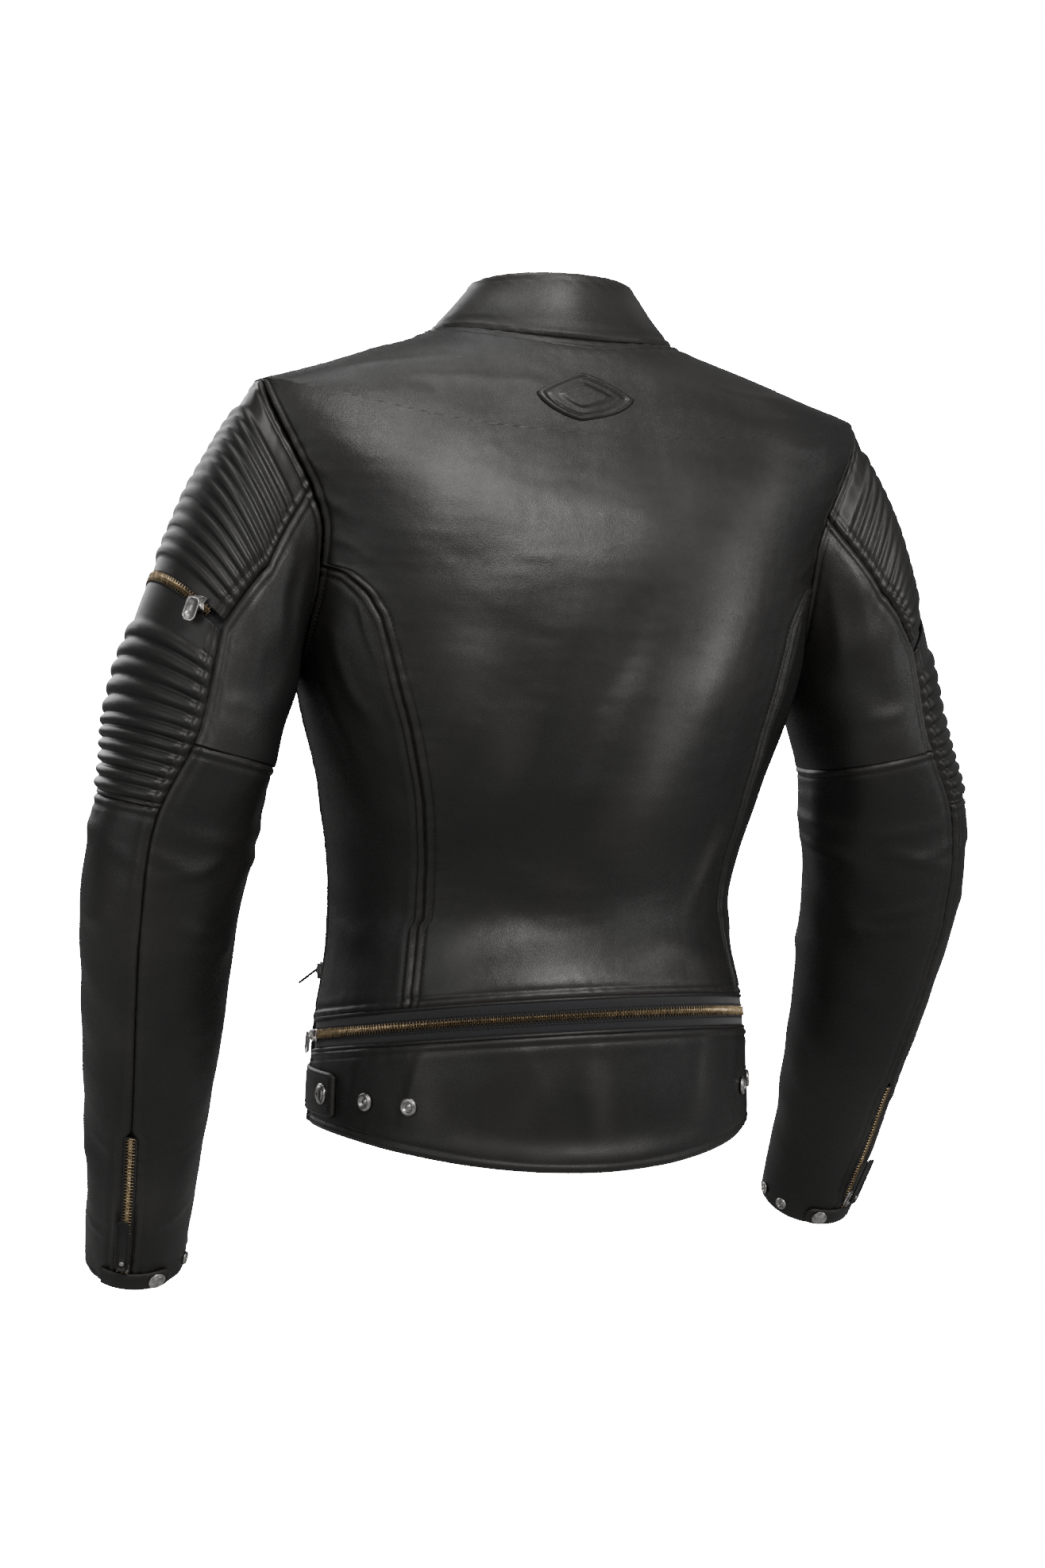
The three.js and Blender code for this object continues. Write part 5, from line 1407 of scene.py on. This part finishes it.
# ---------------------------------------------------------------------------------------------------
# Snap straps at the hem and the cuffs: two layers of leather with a stitched edge and a pointed or
# rounded end, a domed silver snap through each, and the hollow studs that they reach.
strap_height = -549.0 * MM + neck_seam[2]
waist_snap_around = 81.5
snap_profile = [(0, 0), (7.6, 0), (7.7, 0.5), (7.3, 1.1), (6.5, 1.5), (6.0, 1.6), (5.6, 2.0), (4.4, 2.7),
                (2.6, 3.1), (1.6, 3.15), (1.3, 2.9), (0, 2.85)]
stud_profile = [(0, 0), (6.6, 0), (6.7, 0.7), (6.2, 1.7), (5.4, 2.4), (4.3, 2.5), (3.5, 2.1), (3.2, 1.0),
                (2.2, 0.7), (1.9, 1.6), (1.2, 1.9), (0, 1.95)]


def strap_piece(name, surface, tip, root, middle_of, half_at, thick, side, body_name, node):
    """A strap that runs from its sewn root to its free tip; half_at narrows it towards the tip."""
    u = np.concatenate([np.linspace(0, 0.12, 14)[:-1], np.linspace(0.12, 1, 50)])
    half_w = np.array([0.25, 0.5, 0.7, 0.78, 0.84, 0.9, 0.95, 0.985, 1])
    w = np.concatenate([-half_w[::-1], [0], half_w])
    run = (tip + (root - tip) * u)[None] + 0 * w[:, None]
    across = w[:, None] * half_at(u)[None]
    a, b = middle_of(run, across)
    foot, out = surface(a, b), outward(surface, a, b)
    foot = foot + out * (0.5 * MM * ripple(foot, 60 * MM, 5))[..., None]
    edge = np.minimum((1 - np.abs(across) / half_at(u)[None]) * half_at(u)[None],
                      (u * np.linalg.norm(foot[0, -1] - foot[0, 0]))[None])
    groove = 0.5 * MM * np.exp(-((edge - 3 * MM) / (0.6 * MM)) ** 2)
    lift = thick * (1 - 0.35 * np.exp(-(edge / (0.8 * MM)) ** 2)) - groove
    strap_gap = 0.35 * MM
    outer = foot + out * (lift + strap_gap)[..., None]
    inner = foot + out * strap_gap
    points = np.concatenate([outer.reshape(-1, 3), inner.reshape(-1, 3)]) * [side, 1, 1]
    worn = np.concatenate([np.exp(-edge / (2 * MM)).ravel(), np.zeros(edge.size)])
    piece = make_piece(name, points, shell_faces(*a.shape), seam_wear=worn)
    return finish_piece(piece, black_leather, body_name, replaces=[node])


def waist_strap_place(around, across):
    return around, level_of_height(around, strap_height + across)


def cuff_strap_place(turn, across):
    middle = cuff_level - 0.06 - level_step(turn, cuff_level - 0.36, 7.5 * MM)
    return turn, middle - level_step(turn, cuff_level - 0.36, across)


def stop_piece(name, profile, surface, a, b, lift, body_name, node, side, scale):
    origin, axes = place_on(surface, a, b, lift)
    piece = scatter(name, turned(np.array(profile) * scale, 40), origin, axes, side)
    return finish_piece(piece, antique_silver, body_name, replaces=[node])


for word, side in sides.items():
    strap_piece(f"{word}_waist_strap_leather", body, 76.0, 112.0, waist_strap_place,
                lambda u: (16 - 2.2 * np.exp(-(u / 0.035) ** 2)) * MM, 3.0 * MM, side,
                f"{word}_waist_strap", f"{word}_waist_strap")
    level = level_of_height(waist_snap_around, strap_height)
    stop_piece(f"{word}_waist_snap_cap", snap_profile, body, waist_snap_around, level, 3.5 * MM,
               f"{word}_waist_strap", f"{word}_waist_snap", side, 1.0)
    for place, around in (("outer", 64.0), ("inner", 50.5)):
        level = level_of_height(around, strap_height)
        stop_piece(f"{word}_waist_stud_{place}_cap", stud_profile, body, around, level, 0.2 * MM,
                   "torso", f"{word}_waist_stud_{place}", side, 1.0)
    strap_piece(f"{word}_cuff_strap_leather", sleeve, 118.0, 40.0, cuff_strap_place,
                lambda u: (7.5 - 4.6 * np.exp(-(u / 0.045) ** 1.4)) * MM, 2.6 * MM, side,
                f"{word}_cuff_strap", f"{word}_cuff_strap")
    level = cuff_strap_place(90.0, 0.0)[1]
    stop_piece(f"{word}_cuff_snap_cap", snap_profile, sleeve, 101.0, level, 3.1 * MM,
               f"{word}_cuff_strap", f"{word}_cuff_snap", side, 0.842)
    for place, turn in (("outer", 152.0), ("inner", 188.0)):
        stop_piece(f"{word}_cuff_stud_{place}_cap", stud_profile, sleeve, turn, level, 0.2 * MM,
                   f"{word}_forearm", f"{word}_cuff_stud_{place}", side, 0.76)

# ---------------------------------------------------------------------------------------------------
# Stitching: black waxed thread, in rows beside the rear seams, the armholes, the waist zip and the hem.
# Each stitch is a short capsule with tapering ends.
thread = cloth_material("thread", (0.03, 0.029, 0.028), 3000.0, 0.0)
stitch_pitch = 3.4 * MM


def stitch_shape():
    """A stitch 2.4 mm long and 0.7 mm thick with tapering ends."""
    angle = 2 * np.pi * np.arange(6) / 6
    rows = [(-1.25, 0.12), (-0.8, 0.34), (0.8, 0.34), (1.25, 0.12)]
    points = [[r * math.cos(t), y, r * math.sin(t)] for y, r in rows for t in angle]
    quads = grid_faces(4, 6, 0, True)
    ends = np.array([[0, 1, 2, 3], [0, 3, 4, 5]])
    return np.array(points) * MM, np.concatenate([quads, ends[:, ::-1], ends + 18])


def stitch_row(surface, a, b, lift):
    """Origins and axes of stitches along a line on a surface."""
    points = surface(a, b)
    length = np.concatenate([[0], np.cumsum(np.linalg.norm(np.diff(points, axis=0), axis=1))])
    even = np.arange(stitch_pitch, length[-1] - stitch_pitch, stitch_pitch)
    a, b = np.interp(even, length, a), np.interp(even, length, b)
    points, out = surface(a, b), outward(surface, a, b)
    way = unit(np.gradient(points, axis=0))
    across = unit(np.cross(way, out))
    points = points + out * (lift + 0.5 * MM * ripple(points, 60 * MM, 5))[:, None]
    return points, np.stack([across, way, out], -1)


def beside(surface, a, b, distance):
    """The line moved sideways over the surface by a distance."""
    points, out = surface(a, b), outward(surface, a, b)
    way = unit(np.gradient(points, axis=0))
    aside = np.cross(way, out)
    step_a = (surface(a + 0.5, b) - surface(a - 0.5, b))
    step_b = (surface(a, b + 0.01) - surface(a, b - 0.01)) / 0.02
    gram = np.stack([np.stack([(step_a * step_a).sum(-1), (step_a * step_b).sum(-1)], -1),
                     np.stack([(step_a * step_b).sum(-1), (step_b * step_b).sum(-1)], -1)], -2)
    goal = np.stack([(step_a * aside).sum(-1), (step_b * aside).sum(-1)], -1) * distance
    move = np.linalg.solve(gram, goal[..., None])[..., 0]
    return a + move[:, 0], b + move[:, 1]


def stitches(name, rows, body_name=None, blend=None, side=1):
    points = np.concatenate([p for p, _ in rows])
    axes = np.concatenate([x for _, x in rows])
    piece = scatter(name, stitch_shape(), points, axes, side)
    return finish_piece(piece, thread, body_name, blend)


seam = curve_through(rear_seam, 160)
arm = np.linspace(8, 172, 120)
arm_a, arm_b = armhole(arm)
band = np.linspace(-92, 92, 260)
for word, side in sides.items():
    rows = [stitch_row(body, *beside(body, seam[:, 0], seam[:, 1], shift), -0.25 * MM)
            for shift in (stitch_from_seam, -stitch_from_seam)]
    rows.append(stitch_row(body, *beside(body, arm_a, arm_b, -stitch_from_seam), -0.25 * MM))
    stitches(f"{word}_body_stitches", rows, "torso", side=side)
rows = [stitch_row(body, *beside(body, band, band_level(band, sign), shift), -0.25 * MM)
        for sign, shift in ((1, -stitch_from_seam), (-1, stitch_from_seam))]
rows.append(stitch_row(body, *beside(body, band, 0.02 + 0 * band, stitch_from_seam), -0.25 * MM))
stitches("band_stitches", rows, "torso")

# ---------------------------------------------------------------------------------------------------
# Hanger loop: a folded strip of twill inside the collar at the back, sewn down at both ends. The jacket
# hangs from it, and the hook bears on it at the origin.
loop_line = np.concatenate([
    np.stack([np.full(12, -28.8), np.linspace(-12.9, -1.5, 12)], 1),
    np.stack([np.linspace(-27.5, 27.5, 60), np.full(60, 1.2)], 1),
    np.stack([np.full(12, 28.8), np.linspace(-1.5, -12.9, 12)], 1)])
loop_points = np.stack([loop_line[:, 0], 0 * loop_line[:, 0], loop_line[:, 1]], 1) * MM
loop_way = unit(np.gradient(loop_points, axis=0))
loop_out = np.cross(loop_way, np.array([0, 1.0, 0]))
loop = ribbon("hanger_loop_cloth", loop_points, np.tile([0, 1.0, 0], (len(loop_points), 1)), loop_out,
              4.4 * MM, 2.2 * MM, 1.0 * MM, bulge=0.3 * MM)
loop_cloth = cloth_material("loop_cloth", (0.03, 0.03, 0.032), 1800.0)
finish_piece(loop, loop_cloth, "torso", replaces=["hanger_loop"])

# ---------------------------------------------------------------------------------------------------
# Pads: closed-cell foam plates, blue grey with a fine cellular surface, between leather and lining at
# the back, the shoulders and the elbows. Each moves with the leather over it.
armour_foam = bpy.data.materials.new("armour_foam")
armour_foam.use_nodes = True
foam_tree = armour_foam.node_tree
foam_shader = foam_tree.nodes["Principled BSDF"]
foam_place = foam_tree.nodes.new("ShaderNodeTexCoord").outputs["Object"]
foam_cells = wire(foam_tree, "ShaderNodeTexVoronoi", Vector=foam_place, Scale=700.0)
foam_mix = wire(foam_tree, "ShaderNodeMix", {"data_type": "RGBA"}, i0=foam_cells.outputs["Distance"],
                i6=(0.045, 0.06, 0.08, 1), i7=(0.09, 0.115, 0.14, 1))
foam_tree.links.new(foam_mix.outputs[2], foam_shader.inputs["Base Color"])
foam_bump = wire(foam_tree, "ShaderNodeBump", Strength=0.5, Distance=0.0005,
                 Height=foam_cells.outputs["Distance"])
foam_tree.links.new(foam_bump.outputs[0], foam_shader.inputs["Normal"])
foam_shader.inputs["Roughness"].default_value = 0.9
pad_rise = 5.2 * MM


def pad_piece(name, surface, low_b, high_b, half_a, thick, node, side=1, blend=None, body_name=None,
              middle_a=0.0):
    """A plate with rounded corners and edges: the outline is a superellipse in surface coordinates."""
    w = np.linspace(-1, 1, 41)
    s, t = np.meshgrid(w, w)
    s2 = s * np.sqrt(1 - t ** 2 / 2.6)
    t2 = t * np.sqrt(1 - s ** 2 / 2.6)
    a = middle_a + s2 * half_a(t2)
    b = (low_b + high_b) / 2 + t2 * (high_b - low_b) / 2
    foot, out = surface(a, b), outward(surface, a, b)
    rim = 1 - np.maximum(np.abs(s), np.abs(t))
    drop = 1.6 * MM * np.exp(-(rim / 0.06) ** 2)
    vents = 0.7 * MM * np.clip(np.sin(foot[..., 0] * 420) * np.sin(foot[..., 2] * 420), 0, 1)
    outer = foot - out * (pad_rise + drop + vents)[..., None]
    inner = foot - out * (pad_rise + thick - drop)[..., None]
    points = np.concatenate([outer.reshape(-1, 3), inner.reshape(-1, 3)]) * [side, 1, 1]
    piece = make_piece(name, points, shell_faces(41, 41))
    return finish_piece(piece, armour_foam, body_name, blend, [node])


pad_piece("back_pad", body, 2.62, 5.86, lambda t: 29.5 + 3.5 * np.clip(t * 2 + 1, -1, 1), 7.8 * MM,
          "back_armour", body_name="torso")
for word, side in sides.items():
    pad_piece(f"{word}_shoulder_pad", sleeve, 0.72, 1.78, lambda t: 42 + 0 * t, 5.8 * MM,
              f"{word}_shoulder_armour", side, at_shoulder(word, side))
    pad_piece(f"{word}_elbow_pad", sleeve, 5.17, 6.68, lambda t: 50 + 0 * t, 5.8 * MM,
              f"{word}_elbow_armour", side, body_name=f"{word}_forearm", middle_a=55.0)

# ---------------------------------------------------------------------------------------------------
# The finished size: the bounds of every shown piece.
low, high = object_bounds()
